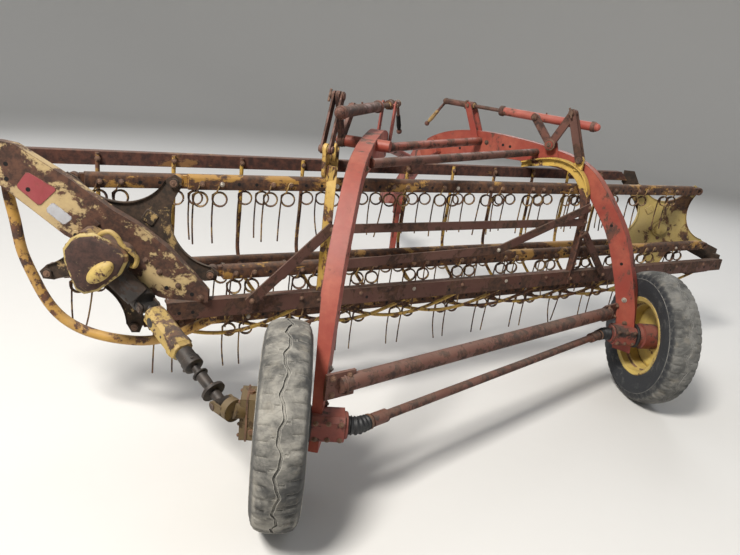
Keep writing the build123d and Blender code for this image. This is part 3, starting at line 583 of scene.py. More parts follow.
class Shape:
    """Collects faces in millimetres and turns them into one piece that rides on a body."""

    def __init__(self) -> None:
        """Start with no faces."""
        self.verts: list[Vector] = []
        self.faces: list[tuple[int, ...]] = []

    def add(self, verts: list[Vector], faces: list[tuple[int, ...]]) -> None:
        """Add faces.

        Args:
            verts: Their vertices.
            faces: The faces, by number of vertex.
        """
        base = len(self.verts)
        self.verts += verts
        self.faces += [tuple(base + i for i in f) for f in faces]

    def loft(self, rings: list[list[Vector]], closed: bool = False, caps: bool = True) -> None:
        """Skin over rings of equal length.

        Args:
            rings: The rings in order.
            closed: Join the last ring to the first.
            caps: Close both ends with a face.
        """
        n = len(rings[0])
        verts = [p for ring in rings for p in ring]
        faces: list[tuple[int, ...]] = []
        count = len(rings)
        for i in range(count if closed else count - 1):
            a, b = i * n, ((i + 1) % count) * n
            for j in range(n):
                k = (j + 1) % n
                faces.append((a + j, a + k, b + k, b + j))
        if caps and not closed:
            faces.append(tuple(reversed(range(n))))
            faces.append(tuple((count - 1) * n + j for j in range(n)))
        self.add(verts, faces)

    def tube(self, points: list[Vector], radius: float, sides: int, closed: bool = False) -> None:
        """Round bar through points, with a frame carried along the path.

        Args:
            points: The middle line.
            radius: Radius of the bar.
            sides: Facets round it.
            closed: The line is a closed loop.
        """
        n = len(points)
        normal: Vector | None = None
        rings = []
        for i, p in enumerate(points):
            before = points[i - 1] if closed or i > 0 else p
            after = points[(i + 1) % n] if closed or i < n - 1 else p
            t = (after - before).normalized()
            if normal is None:
                normal = t.orthogonal().normalized()
            normal = (normal - t * normal.dot(t)).normalized()
            rings.append(circle(p, normal, t.cross(normal), radius, sides))
        self.loft(rings, closed)

    def rod(self, p: Vector, q: Vector, radius: float, sides: int = 14, bevel: float = 0.0) -> None:
        """Straight round bar.

        Args:
            p: Middle of one end.
            q: Middle of the other.
            radius: Radius of the bar.
            sides: Facets round it.
            bevel: How far its ends are softened.
        """
        axis = (q - p).normalized()
        steps = [(p, radius), (q, radius)]
        if bevel > 0:
            steps = [(p, radius - bevel), (p + axis * bevel, radius),
                     (q - axis * bevel, radius), (q, radius - bevel)]
        self.loft([circle(c, *square_axes(axis), r, sides) for c, r in steps])

    def stud(self, seat: Vector, axis: Vector, low: float, high: float, radius: float,
             sides: int = 14, bevel: float = 0.0) -> None:
        """Straight round bar on an axis through seat, from low to high along it."""
        self.rod(seat + axis * low, seat + axis * high, radius, sides, bevel)

    def lathe(self, profile: list[tuple[float, float]], centre: Vector, axis: Vector,
              sides: int = 48, closed: bool = False) -> None:
        """Turned shape.

        Args:
            profile: Pairs of distance along the axis and radius.
            centre: Origin of the profile.
            axis: Direction of the profile's first number.
            sides: Facets round the axis.
            closed: The profile is a closed loop.
        """
        axis = axis.normalized()
        rings = [circle(centre + axis * x, *square_axes(axis), r, sides) for x, r in profile]
        self.loft(rings, closed, not closed)

    def prism(self, outline: list[Vector], depth: Vector) -> None:
        """Flat outline drawn out.

        Args:
            outline: Its corners in order.
            depth: How far, and which way.
        """
        n = len(outline)
        verts = list(outline) + [p + depth for p in outline]
        faces = [tuple(range(n)), tuple(reversed(range(n, 2 * n)))]
        faces += [(i, i + n, (i + 1) % n + n, (i + 1) % n) for i in range(n)]
        self.add(verts, faces)

    def block(self, centre: Vector, x: Vector, y: Vector, z: Vector) -> None:
        """Block from its centre and three half edges."""
        c = centre
        self.prism([c - x - y - z, c + x - y - z, c + x + y - z, c - x + y - z], 2 * z)

    def bolt(self, seat: Vector, axis: Vector, size: float = 9.0, washer: bool = True) -> None:
        """Hexagon head with the end of its bolt.

        Args:
            seat: Point that it stands on.
            axis: Direction that it looks in.
            size: Radius over its corners.
            washer: Whether a washer lies under it.
        """
        axis = axis.normalized()
        if washer:
            self.stud(seat, axis, -1.0, 1.8, size * 1.35, 16, 0.5)
        turn = (seat.x * 0.37 + seat.z * 0.21) % 1.0
        rings = ((size, 1.0), (size, size * 0.62), (size * 0.86, size * 0.78))
        self.loft([circle(seat + axis * h, *square_axes(axis), r, 6, turn) for r, h in rings])
        self.stud(seat, axis, 0.0, size * 1.15, size * 0.5, 10, 0.8)

    def disc(self, seat: Vector, axis: Vector, radius: float) -> None:
        """Thin round patch that shows a drilled hole."""
        self.stud(seat, axis.normalized(), -1.0, 0.35, radius)

    def make(self, name: str, finish: Finish, body: str, smooth: float = 35.0) -> bpy.types.Object:
        """Turn the faces into a piece.

        Args:
            name: Name of the piece.
            finish: Its finish.
            body: The body it rides on.
            smooth: Edges sharper than this many degrees stay sharp.

        Returns:
            The object.
        """
        mesh = bpy.data.meshes.new(name)
        mesh.from_pydata([tuple((v - ORIGIN) * MM) for v in self.verts], [], self.faces)
        mesh.update()
        mesh.materials.append(material(finish))
        mesh.shade_smooth()
        mesh.set_sharp_from_angle(angle=math.radians(smooth))
        obj = bpy.data.objects.new(name, mesh)
        bpy.context.scene.collection.objects.link(obj)
        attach(obj, body)
        LOG.info("%s on %s: %d faces", name, body, len(self.faces))
        return obj


def dress(node: str, finish: Finish, smooth: float = 32.0) -> None:
    """Give a carried-over node its finish and its shading.

    Args:
        node: Name of the node.
        finish: Its finish.
        smooth: Edges sharper than this many degrees stay sharp.
    """
    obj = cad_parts[node]
    obj.data.materials.clear()
    obj.data.materials.append(material(finish))
    obj.data.shade_smooth()
    obj.data.set_sharp_from_angle(angle=math.radians(smooth))


def turned(name: str, profile: list[tuple[float, float]], centre: Vector, axis: Vector, sides: int,
           finish: Finish, body: str) -> None:
    """One turned piece.

    Args:
        name: Name of the piece.
        profile: Pairs of distance along the axis and radius.
        centre: Origin of the profile.
        axis: Direction of the profile's first number.
        sides: Facets round the axis.
        finish: Its finish.
        body: The body it rides on.
    """
    shape = Shape()
    shape.lathe(profile, centre, axis, sides)
    shape.make(name, finish, body)


def smooth_path(points: list[Vector], steps: int) -> list[Vector]:
    """Catmull-Rom curve through points.

    Args:
        points: Points to pass through.
        steps: Pieces between two of them.

    Returns:
        The points of the curve.
    """
    pts = [points[0] * 2 - points[1], *points, points[-1] * 2 - points[-2]]
    out = []
    for i in range(1, len(pts) - 2):
        a, b, c, d = pts[i - 1:i + 3]
        for k in range(steps):
            t = k / steps
            out.append(0.5 * (2 * b + (c - a) * t + (2 * a - 5 * b + 4 * c - d) * t * t
                              + (3 * b - a - 3 * c + d) * t * t * t))
    out.append(pts[-2].copy())
    return out


def arc_through(a: Vector, m: Vector, b: Vector, steps: int) -> list[Vector]:
    """Arc through three points in one plane of constant y.

    Args:
        a: First point.
        m: Point on the way.
        b: Last point.
        steps: Pieces of the arc.

    Returns:
        The points of the arc.
    """
    ax, az, mx, mz, bx, bz = a.x, a.z, m.x, m.z, b.x, b.z
    d = 2 * (ax * (mz - bz) + mx * (bz - az) + bx * (az - mz))
    sa, sm, sb = ax * ax + az * az, mx * mx + mz * mz, bx * bx + bz * bz
    cx = (sa * (mz - bz) + sm * (bz - az) + sb * (az - mz)) / d
    cz = (sa * (bx - mx) + sm * (ax - bx) + sb * (mx - ax)) / d
    r = math.hypot(ax - cx, az - cz)
    t0, t1 = math.atan2(az - cz, ax - cx), math.atan2(bz - cz, bx - cx)
    if t1 - t0 > math.pi:
        t1 -= 2 * math.pi
    elif t0 - t1 > math.pi:
        t1 += 2 * math.pi
    turns = (t0 + (t1 - t0) * k / steps for k in range(steps + 1))
    return [Vector((cx + r * math.cos(t), a.y, cz + r * math.sin(t))) for t in turns]


# Sub-assemblies


@dataclass
class Wheel:
    """One pneumatic wheel: worn farm tyre, stepped rim and hub."""

    side: Side
    steps: int = 384
    waves: int = 18
    groove: float = 7.0
    shoulder: float = 62.0
    crown: float = 12.5
    flat: float = 24.0
    rim_edge: float = 67.0
    nut_circle: float = 46.0

    @property
    def axis(self) -> Vector:
        """Direction outwards along the axle."""
        return X * self.side.sign

    @property
    def centre(self) -> Vector:
        """Wheel centre."""
        return Vector((self.side.sign * TRACK_HALF, self.side.sign * STAGGER_HALF, HUB_Z))

    @property
    def body(self) -> str:
        """Body that the wheel is."""
        return self.side.value + "_wheel"

    def section(self) -> list[tuple[float, float, float]]:
        """Tyre section from bead to bead, then back inside.

        Returns:
            Distance from the middle, radius, and how far the tread pattern reaches that point.
        """
        wall = [(-62, 191), (-66, 198), (-67.5, 204), (-66.5, 208), (-71, 222), (-75.5, 238),
                (-78.3, 254), (-79.6, 270), (-79.8, 283), (-78.6, 292), (-79.2, 294), (-79, 297),
                (-77, 299), (-74.6, 311), (-72.8, 314), (-71, 320)]
        out = [(x, r, 0.5 if r > 310 else 0.0) for x, r in wall]
        edges = [64, 60, 55, 50, 45, 40, 35, 30, 26, 22, 18, 14, 10.5, 7.5, 5, 3]
        for x in [-e for e in edges] + [0.0] + edges[::-1]:
            r = TYRE_R - self.crown * (abs(x) / self.shoulder) ** 2.6
            out.append((x, r - (2.0 if abs(x) > self.shoulder else 0.0), 1.0))
        out += [(-x, r, reach) for x, r, reach in reversed(out[:len(wall)])]
        inner = [(50, 200), (60, 250), (60, 300), (45, 325), (0, 330)]
        inner += [(-x, r) for x, r in reversed(inner[:-1])]
        return out + [(x, r, 0.0) for x, r in inner]

    def tread(self, x: float, r: float, reach: float, turn: float,
              index: int) -> tuple[float, float]:
        """Move a tread point into the wandering groove, a shoulder slot or a cup beside the groove.

        Args:
            x: Its distance from the middle.
            r: Its radius.
            reach: How far the pattern reaches it.
            turn: Its angle round the tyre.
            index: Number of its section.

        Returns:
            Its new distance and radius.
        """
        slot = (1.0, 0.75, 0.1, 0.0, 0.0, 0.0, 0.0, 0.3)[(index + (0 if x < 0 else 4)) % 8]
        if reach < 1.0:
            return x - math.copysign(3.0 * slot, x), r
        wander = 7.5 * math.sin(self.waves * turn) + 2.0 * math.sin(2.6 * self.waves * turn + 1.0)
        near = max(0.0, 1.0 - max(0.0, abs(x) - 14.0) / 16.0)
        r -= 0.7 * math.sin(5 * turn + 1.0) + 0.5 * math.sin(11 * turn)
        if abs(x) < 4.0:
            r -= self.groove if self.side is Side.LEFT else 0.4 * self.groove
        elif abs(x) > self.flat:
            r -= 6.0 * slot * min(1.0, (abs(x) - self.flat) / 9.0)
        elif index % 16 == (6 if x < 0 else 14) and 9.0 < abs(x) < self.flat:
            r -= 4.0
        return x + wander * near, r

    def tyre(self) -> None:
        """Replace the tyre with a treaded one."""
        shape = Shape()
        section = self.section()
        rings = []
        for i in range(self.steps):
            turn = 2 * math.pi * i / self.steps
            ring = []
            for x, r, reach in section:
                if reach:
                    x, r = self.tread(x, r, reach, turn, i)
                ring.append(self.centre + Vector((x, r * math.cos(turn), r * math.sin(turn))))
            rings.append(ring)
        shape.loft(rings, closed=True)
        finish = TYRE_DUSTY if self.side is Side.LEFT else TYRE_DARK
        tyre = shape.make(self.side.value + "_tyre_tread", finish, self.body, 28)
        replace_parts(tyre, self.side.value + "_tyre")

    def fittings(self) -> None:
        """Rim beads, wheel nuts, valve, hub seal and grease cap."""
        name, axis, centre = self.side.value, self.axis, self.centre
        dress(name + "_rim", RIM_YELLOW)
        dress(name + "_hub", HUB_RED)
        rim = Shape()
        for x in (-self.rim_edge, self.rim_edge):
            bead = [(x - 3.2, 201), (x, 205.5), (x + 3.2, 201), (x, 199)]
            rim.lathe(bead, centre, axis, 96, closed=True)
        rim.make(name + "_rim_beads", RIM_YELLOW, self.body)
        metal = Shape()
        for seat in circle(centre + axis * 50, Y, UP, self.nut_circle, 5, math.radians(20)):
            metal.stud(seat, axis, 0, 5, 5.2, 10, 1.0)
        stem, bend, tip = (centre + axis * x + UP * z
                           for x, z in ((40, -160), (62, -154), (74, -151)))
        metal.rod(stem, bend, 3.6, 10)
        metal.rod(bend, tip, 4.6, 10, 1.0)
        metal.make(name + "_wheel_fittings", BOLT_STEEL, self.body)
        seal = [(-93, 40), (-93, 60), (-90, 63), (-83, 63), (-80, 60), (-80, 50)]
        turned(name + "_hub_seal", seal, centre, axis, 48, BOOT_BLACK, self.body)
        cap = [(58, 0.5), (58, 30), (66, 30), (74, 25), (80, 13), (82, 0.5)]
        turned(name + "_grease_cap", cap, centre, axis, 32, HUB_RED, self.body)

    def build(self) -> None:
        """Build the wheel."""
        self.tyre()
        self.fittings()


@dataclass
class ToothBar:
    """One bar of the reel with its bearings, bolts, holes and spring teeth."""

    index: int
    half_width: float = 20.0
    low: float = -27.0
    shoulder: float = 16.0
    high: float = 27.0
    bolt_z: float = -4.0
    hole_pitch: float = 69.5
    coil_turns: int = 2
    coil_steps: int = 16
    new_bolts: float = 0.12
    bent_teeth: float = 0.16

    @property
    def name(self) -> str:
        """Name of the bar."""
        return f"tooth_bar_{self.index + 1}"

    @property
    def body(self) -> str:
        """Body that the bar is."""
        return f"bar_{self.index + 1}"

    @property
    def place(self) -> tuple[float, float]:
        """Where the bar stands on the reel: sideways and up from its centre."""
        a = arm_angle(self.index)
        return REEL_R * math.cos(a), REEL_R * math.sin(a)

    def at(self, u: float, back: float, z: float) -> Vector:
        """Point on the bar, u along it, back squarely behind its centre line."""
        bx, bz = self.place
        return bar_point(u, bx, bz + z) + BACK * back

    def beam(self) -> None:
        """The bar itself, with rounded edges and a bearing at each end."""
        shape = Shape()
        w, low, mid, high = self.half_width, self.low, self.shoulder, self.high
        half = [(w - 2, low), (w - 0.6, low + 0.6), (w, low + 2), (w, mid - 1), (w - 0.8, mid + 1),
                (13, high - 0.8), (11, high)]
        section = [(2 - w, low)] + half + [(-b, z) for b, z in reversed(half[1:])]
        ends = [42.0 + (BAR_LEN - 84.0) * k / 40 for k in range(41)]
        shape.loft([[self.at(u, b, z) for b, z in section] for u in ends])
        bearing = [(2, 10.6), (2, 21.5), (3.5, 23), (32.5, 23), (34, 21.5), (34, 10.6)]
        side = BACK * 14
        for u, s in ((0.0, 1), (BAR_LEN, -1)):
            c = self.at(u, 0, 0)
            shape.lathe(bearing, c, Y * s, 32, closed=True)
            root, tip = (c + Y * (16 * s) + ALONG * (s * d) - UP * 20 for d in (20, 66))
            shape.prism([root - side, root + side, tip + side, tip - side], UP * 40)
        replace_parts(shape.make(self.name + "_beam", BAR_OCHRE, self.body), self.name)

    def holes(self) -> None:
        """Rows of drilled holes along both faces of the bar."""
        shape = Shape()
        u = TOOTH_FIRST - 0.5 * self.hole_pitch
        while u < BAR_LEN - 60:
            shape.disc(self.at(u, self.half_width, self.bolt_z), BACK, 6.5)
            shape.disc(self.at(u + 9, -self.half_width, self.bolt_z), -BACK, 6.5)
            u += self.hole_pitch
        shape.make(self.name + "_holes", HOLE_DARK, self.body)

    def springs(self) -> None:
        """Spring teeth: each has an eye under its bolt, two coils and a leg."""
        wire, bolts, shiny = Shape(), Shape(), Shape()
        rng = random.Random(40 + self.index)
        for i in range(STRIP_COUNT):
            for s in (-1, 1):
                u = TOOTH_FIRST + STRIP_PITCH * i + s * TOOTH_HALF
                self.tooth(wire, u, rng)
                seat = self.at(u, self.half_width + 7, self.bolt_z)
                (shiny if rng.random() < self.new_bolts else bolts).bolt(seat, BACK, 6.8)
                bolts.stud(self.at(u, -self.half_width, self.bolt_z), BACK, 0, -8, 8, 6)
        wire.make(self.name + "_spring_teeth", TOOTH_WIRE, self.body, 60)
        bolts.make(self.name + "_bolts", BOLT_STEEL, self.body)
        shiny.make(self.name + "_new_bolts", BRIGHT_BOLT, self.body)

    def tooth(self, wire: Shape, u: float, rng: random.Random) -> None:
        """Wire of one tooth, from the eye round the bolt to the tip of the leg.

        Args:
            wire: Shape that takes the wire.
            u: Its place along the bar.
            rng: Source of the leg's lean.
        """
        back = self.half_width + 3.6
        turns = (math.radians(40 + 25 * k) for k in range(6))
        eye = [self.at(u + 9 * math.cos(t), back, self.bolt_z + 9 * math.sin(t)) for t in turns]
        c = self.at(u, 0, -COIL_DROP)
        r = COIL_R - WIRE_R
        path = eye + [self.at(u - 12, back, -16), self.at(u - 18, back - 2, -33),
                      c + Vector((-r, -10, 16))]
        total = self.coil_turns * self.coil_steps
        for k in range(total + 1):
            t = -math.pi / 2 - 2 * math.pi * k / self.coil_steps
            path.append(c + Vector((r * math.sin(t), -9 + 18 * k / total, r * math.cos(t))))
        length = TOOTH_LEG - COIL_DROP
        lean = Vector((rng.uniform(-5, 5), rng.uniform(-4, 4), 0))
        if rng.random() < self.bent_teeth:
            lean = Vector((rng.uniform(-26, 26), rng.uniform(-14, 14), 0))
        for k in range(1, 6):
            t = k / 5
            sag = Vector((-3.0 * math.sin(math.pi * t), 0, -length * t))
            path.append(c + Vector((-r, 9, 0)) + lean * t * t + sag)
        wire.tube(path, WIRE_R, 6)

    def build(self) -> None:
        """Build the bar."""
        self.beam()
        self.holes()
        self.springs()


@dataclass
class ReelHead:
    """One five-armed head: pressed plate with turned edges, hub bolts and bearing nuts."""

    side: Side
    along: float
    face_y: float
    waist: float = 178.0
    half: float = 30.0
    lip: float = 15.0
    lip_front: float = 8.0
    gauge: float = 4.5
    pad_at: float = 150.0
    pad_half: float = 17.0
    pad_round: float = 9.0

    @property
    def left(self) -> bool:
        """Whether this is the left head."""
        return self.side is Side.LEFT

    @property
    def finish(self) -> WornPaint:
        """Finish of the head's plate."""
        return STAR_BROWN if self.left else STAR_OLIVE

    @property
    def face(self) -> Vector:
        """Point on the reel axis in the plane of the plate's rear face."""
        return bar_point(self.along, 0, 0) + Y * self.face_y

    def at(self, r: float, a: float, off: float = 0.0, y: float = 0.0) -> Vector:
        """Point at radius r along an arm at angle a, off to its side."""
        cos, sin = math.cos(a), math.sin(a)
        return self.face + Vector((r * cos - off * sin, y, r * sin + off * cos))

    def make(self, shape: Shape, name: str, finish: Finish) -> None:
        """Make a shape one of the head's pieces."""
        shape.make(f"{self.side.value}_head_{name}", finish, "reel_" + self.side.value)

    def rims(self) -> None:
        """Edges turned back along the concave sides between the arms."""
        shape = Shape()
        for k in range(5):
            a, b = arm_angle(k), arm_angle(k) + math.radians(72)
            start, end = self.at(REEL_R - 10, a, self.half), self.at(REEL_R - 10, b, -self.half)
            front, rear = Y * self.lip_front, Y * (self.lip_front - self.lip)
            rings = []
            for edge in arc_through(start, self.at(self.waist, (a + b) / 2), end, 24):
                inner = edge + (self.face - edge).normalized() * self.gauge
                rings.append([edge + rear, edge + front, inner + front, inner + rear])
            shape.loft(rings)
        self.make(shape, "rims", self.finish)

    def fixings(self) -> None:
        """Hub bolts, bearing nuts and pins."""
        bolts, pins = Shape(), Shape()
        for k in range(4):
            bolts.bolt(self.at(60, math.radians(90 * k + 4)), -Y, 9)
        for k in range(5):
            seat = self.at(REEL_R, arm_angle(k))
            if self.left:
                bolts.stud(seat, Y, -11, -14, 13, 24, 0.8)
                bolts.bolt(seat - Y * 13, -Y, 5, False)
            else:
                pins.stud(seat, Y, 8, -44, 9.8, 20, 1.5)
                bolts.bolt(seat + Y * 20, Y, 12)
                pins.stud(seat, Y, -38, -41, 17, 20, 1.0)
        self.make(bolts, "bolts", BOLT_STEEL)
        if pins.verts:
            self.make(pins, "pins", SHAFT_STEEL)

    def pad(self) -> None:
        """Square pad with round corners, pressed into one arm."""
        shape = Shape()
        a = arm_angle(2 if self.left else 3)
        outline = []
        for c in range(4):
            base = math.radians(45 + 90 * c)
            far = self.pad_half * math.sqrt(2)
            for j in range(5):
                t = math.radians(90 * c + 22.5 * j)
                outline.append((far * math.cos(base) + self.pad_round * math.cos(t),
                                far * math.sin(base) + self.pad_round * math.sin(t)))
        shape.loft([[self.at(self.pad_at + k * x, a, k * z, y) for x, z in outline]
                    for k, y in ((1.0, 0.0), (0.86, -5.0))])
        self.make(shape, "pad", self.finish)

    def hub(self) -> None:
        """Turned hub cap over the shaft end."""
        shape = Shape()
        profile = [(0, 50), (8, 50), (10.5, 48), (13, 40), (26, 36), (30, 30), (31, 0.5)]
        if self.left:
            profile = [(0, 49), (6, 50.5), (12, 49), (18.5, 48.5), (18.5, 24)]
        shape.lathe(profile, self.face, -Y)
        self.make(shape, "hub", self.finish)

    def build(self) -> None:
        """Build the head."""
        dress(f"{self.side.value}_reel_head", self.finish)
        self.rims()
        self.fixings()
        self.pad()
        self.hub()


@dataclass
class Basket:
    """The slanting basket: beams, strippers, hoop, hangers and ties."""

    stripper_r: float = 8.2
    rail_face: float = -165.0
    rail_low: float = 275.0
    rail_top: float = 327.0
    rail_cut: float = 66.0
    hoop_y: float = -22.0
    beam_face: float = 24.0

    STRIP_PATH = ((-388, 322), (-388, 210), (-388, 100), (-391, -20), (-387, -90), (-368, -165),
                  (-328, -238), (-264, -306), (-160, -355), (-20, -378), (100, -373), (220, -336),
                  (330, -276), (402, -231))

    def strippers(self) -> None:
        """Bent stripper rods, each bolted to the top rail."""
        rods, bolts = Shape(), Shape()
        for i in range(STRIP_COUNT):
            u = STRIP_FIRST + STRIP_PITCH * i
            path = smooth_path([bar_point(u, v, z) for v, z in self.STRIP_PATH], 5)
            rods.tube(path, self.stripper_r, 10)
            bolts.bolt(bar_point(u, -388, 300) + BACK * 7.5, BACK, 8)
            foot = bar_point(u, *self.STRIP_PATH[-1])
            rods.rod(foot - Vector((2, 0, -2)), foot + Vector((8, -6, 5)), 9.5, 12, 2)
        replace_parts(rods.make("stripper_rods", STRIP_YELLOW, "basket", 60), "strippers")
        bolts.make("stripper_bolts", BOLT_STEEL, "basket")

    def top_rail(self) -> None:
        """Angle-section top rail, its far end cut back obliquely."""
        shape = Shape()
        f, low, top = self.rail_face, self.rail_low, self.rail_top
        start, end = -176.0 - 385.0 * CA, 3300.0 - 385.0 * CA
        section = [(f, low), (f, top - 2), (f - 2, top), (f - 38, top), (f - 40, top - 2),
                   (f - 40, top - 6), (f - 6, top - 6), (f - 6, low)]
        rings = [[square_point(start + (end - start) * k / 45, b, z) for b, z in section]
                 for k in range(45)]
        slope = self.rail_cut / (top - low)
        rings.append([square_point(end - slope * (z - low), b, z) for b, z in section])
        shape.loft(rings)
        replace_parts(shape.make("top_rail_angle", RAIL_OCHRE, "basket"), "top_rail")

    def on_beam(self, u: float, out: float, z: float) -> Vector:
        """Point u along the rear beam, out behind its middle and z above the beam's own height."""
        return square_point(u + BEAM_V * CA, BEAM_BACK + out, BEAM_Z + z)

    def beam_bolts(self) -> None:
        """Bolts, washers and empty holes in the rear beam and its ties."""
        dull, bright, holes = Shape(), Shape(), Shape()
        for u, z, out, new in ((345, 868, 38.5, 0), (352, 717, 48, 1), (1250, 748, 48, 1),
                               (1822, 952, 48, 0), (1826, 872, 38.5, 0), (30, 590, 48, 0),
                               (346, 868, 48, 0), (1830, 815, 48, 0), (2052, 574, 48, 0)):
            (bright if new else dull).bolt(self.on_beam(u, out, z - REEL.z - BEAM_Z), BACK, 8)
        for i in range(STRIP_COUNT):
            seat = self.on_beam(STRIP_FIRST + STRIP_PITCH * i - 16, self.beam_face, 12)
            (bright if i in (2, 4) else dull).bolt(seat, BACK, 7)
        for u in (-240, -190, 560, 1010, 1460, 2260, 2700, 3050, 3180):
            holes.disc(self.on_beam(u, self.beam_face, -8), BACK, 7)
        dull.make("beam_bolts", BOLT_STEEL, "basket")
        bright.make("beam_new_bolts", BRIGHT_BOLT, "basket")
        holes.make("beam_holes", HOLE_DARK, "basket")

    def stay(self) -> None:
        """Short stay under the rear beam near its right end."""
        shape = Shape()
        p, q = self.on_beam(2880, 4, -44), self.on_beam(3110, 4, -36)
        shape.block((p + q) / 2, (q - p) / 2, BACK * 14, UP * 4)
        shape.stud(p, UP, 0, 10, 8, 12)
        shape.stud(q, UP, 0, 6, 8, 12)
        shape.make("beam_stay", BEAM_RUST, "basket")

    def hoop_clips(self) -> None:
        """Clips where the hoop meets the end frame and the beam."""
        shape = Shape()
        for x, z, way in ((-1963, 972, (0.25, 0, 1)), (-1236, 501, (1, 0, 0.4))):
            c = Vector((x, self.hoop_y, z))
            shape.lathe([(-7, 18), (-7, 21.5), (7, 21.5), (7, 18)], c, Vector(way), 28, closed=True)
            shape.stud(c, Y, -21, -26, 6, 6)
        shape.make("hoop_clips", BOLT_STEEL, "basket")

    def hanger_bolts(self) -> None:
        """Bolts of the two hangers, up the rear flange and through the web."""
        shape = Shape()
        for u, heading, heights in ((347.0, 3.0, (560, 640, 780, 905)),
                                    (1820.0, -45.0, (560, 640, 800, 930))):
            foot = bar_point(u, BEAM_V, 0)
            plane = Upright(foot.x, foot.y, heading)
            for k, z in enumerate(heights):
                rear = -26.5 if z < 700 else -34.5
                shape.bolt(plane.at(rear, z, 9 if k % 2 else -9), -plane.ahead, 8)
            for z in (620, 1000):
                shape.bolt(plane.at(2, z, 6), plane.across, 8)
        shape.make("hanger_bolts", BOLT_STEEL, "basket")

    def build(self) -> None:
        """Build the basket."""
        for node, finish in (("rear_beam", BEAM_RUST), ("basket_ties", BEAM_RUST),
                             ("end_hoop", HOOP_OCHRE), ("left_hanger", HANGER_YELLOW),
                             ("right_hanger", HANGER_SPOTTED), ("right_end_frame", STAR_BROWN)):
            dress(node, finish)
        self.strippers()
        self.top_rail()
        self.beam_bolts()
        self.stay()
        self.hoop_clips()
        self.hanger_bolts()


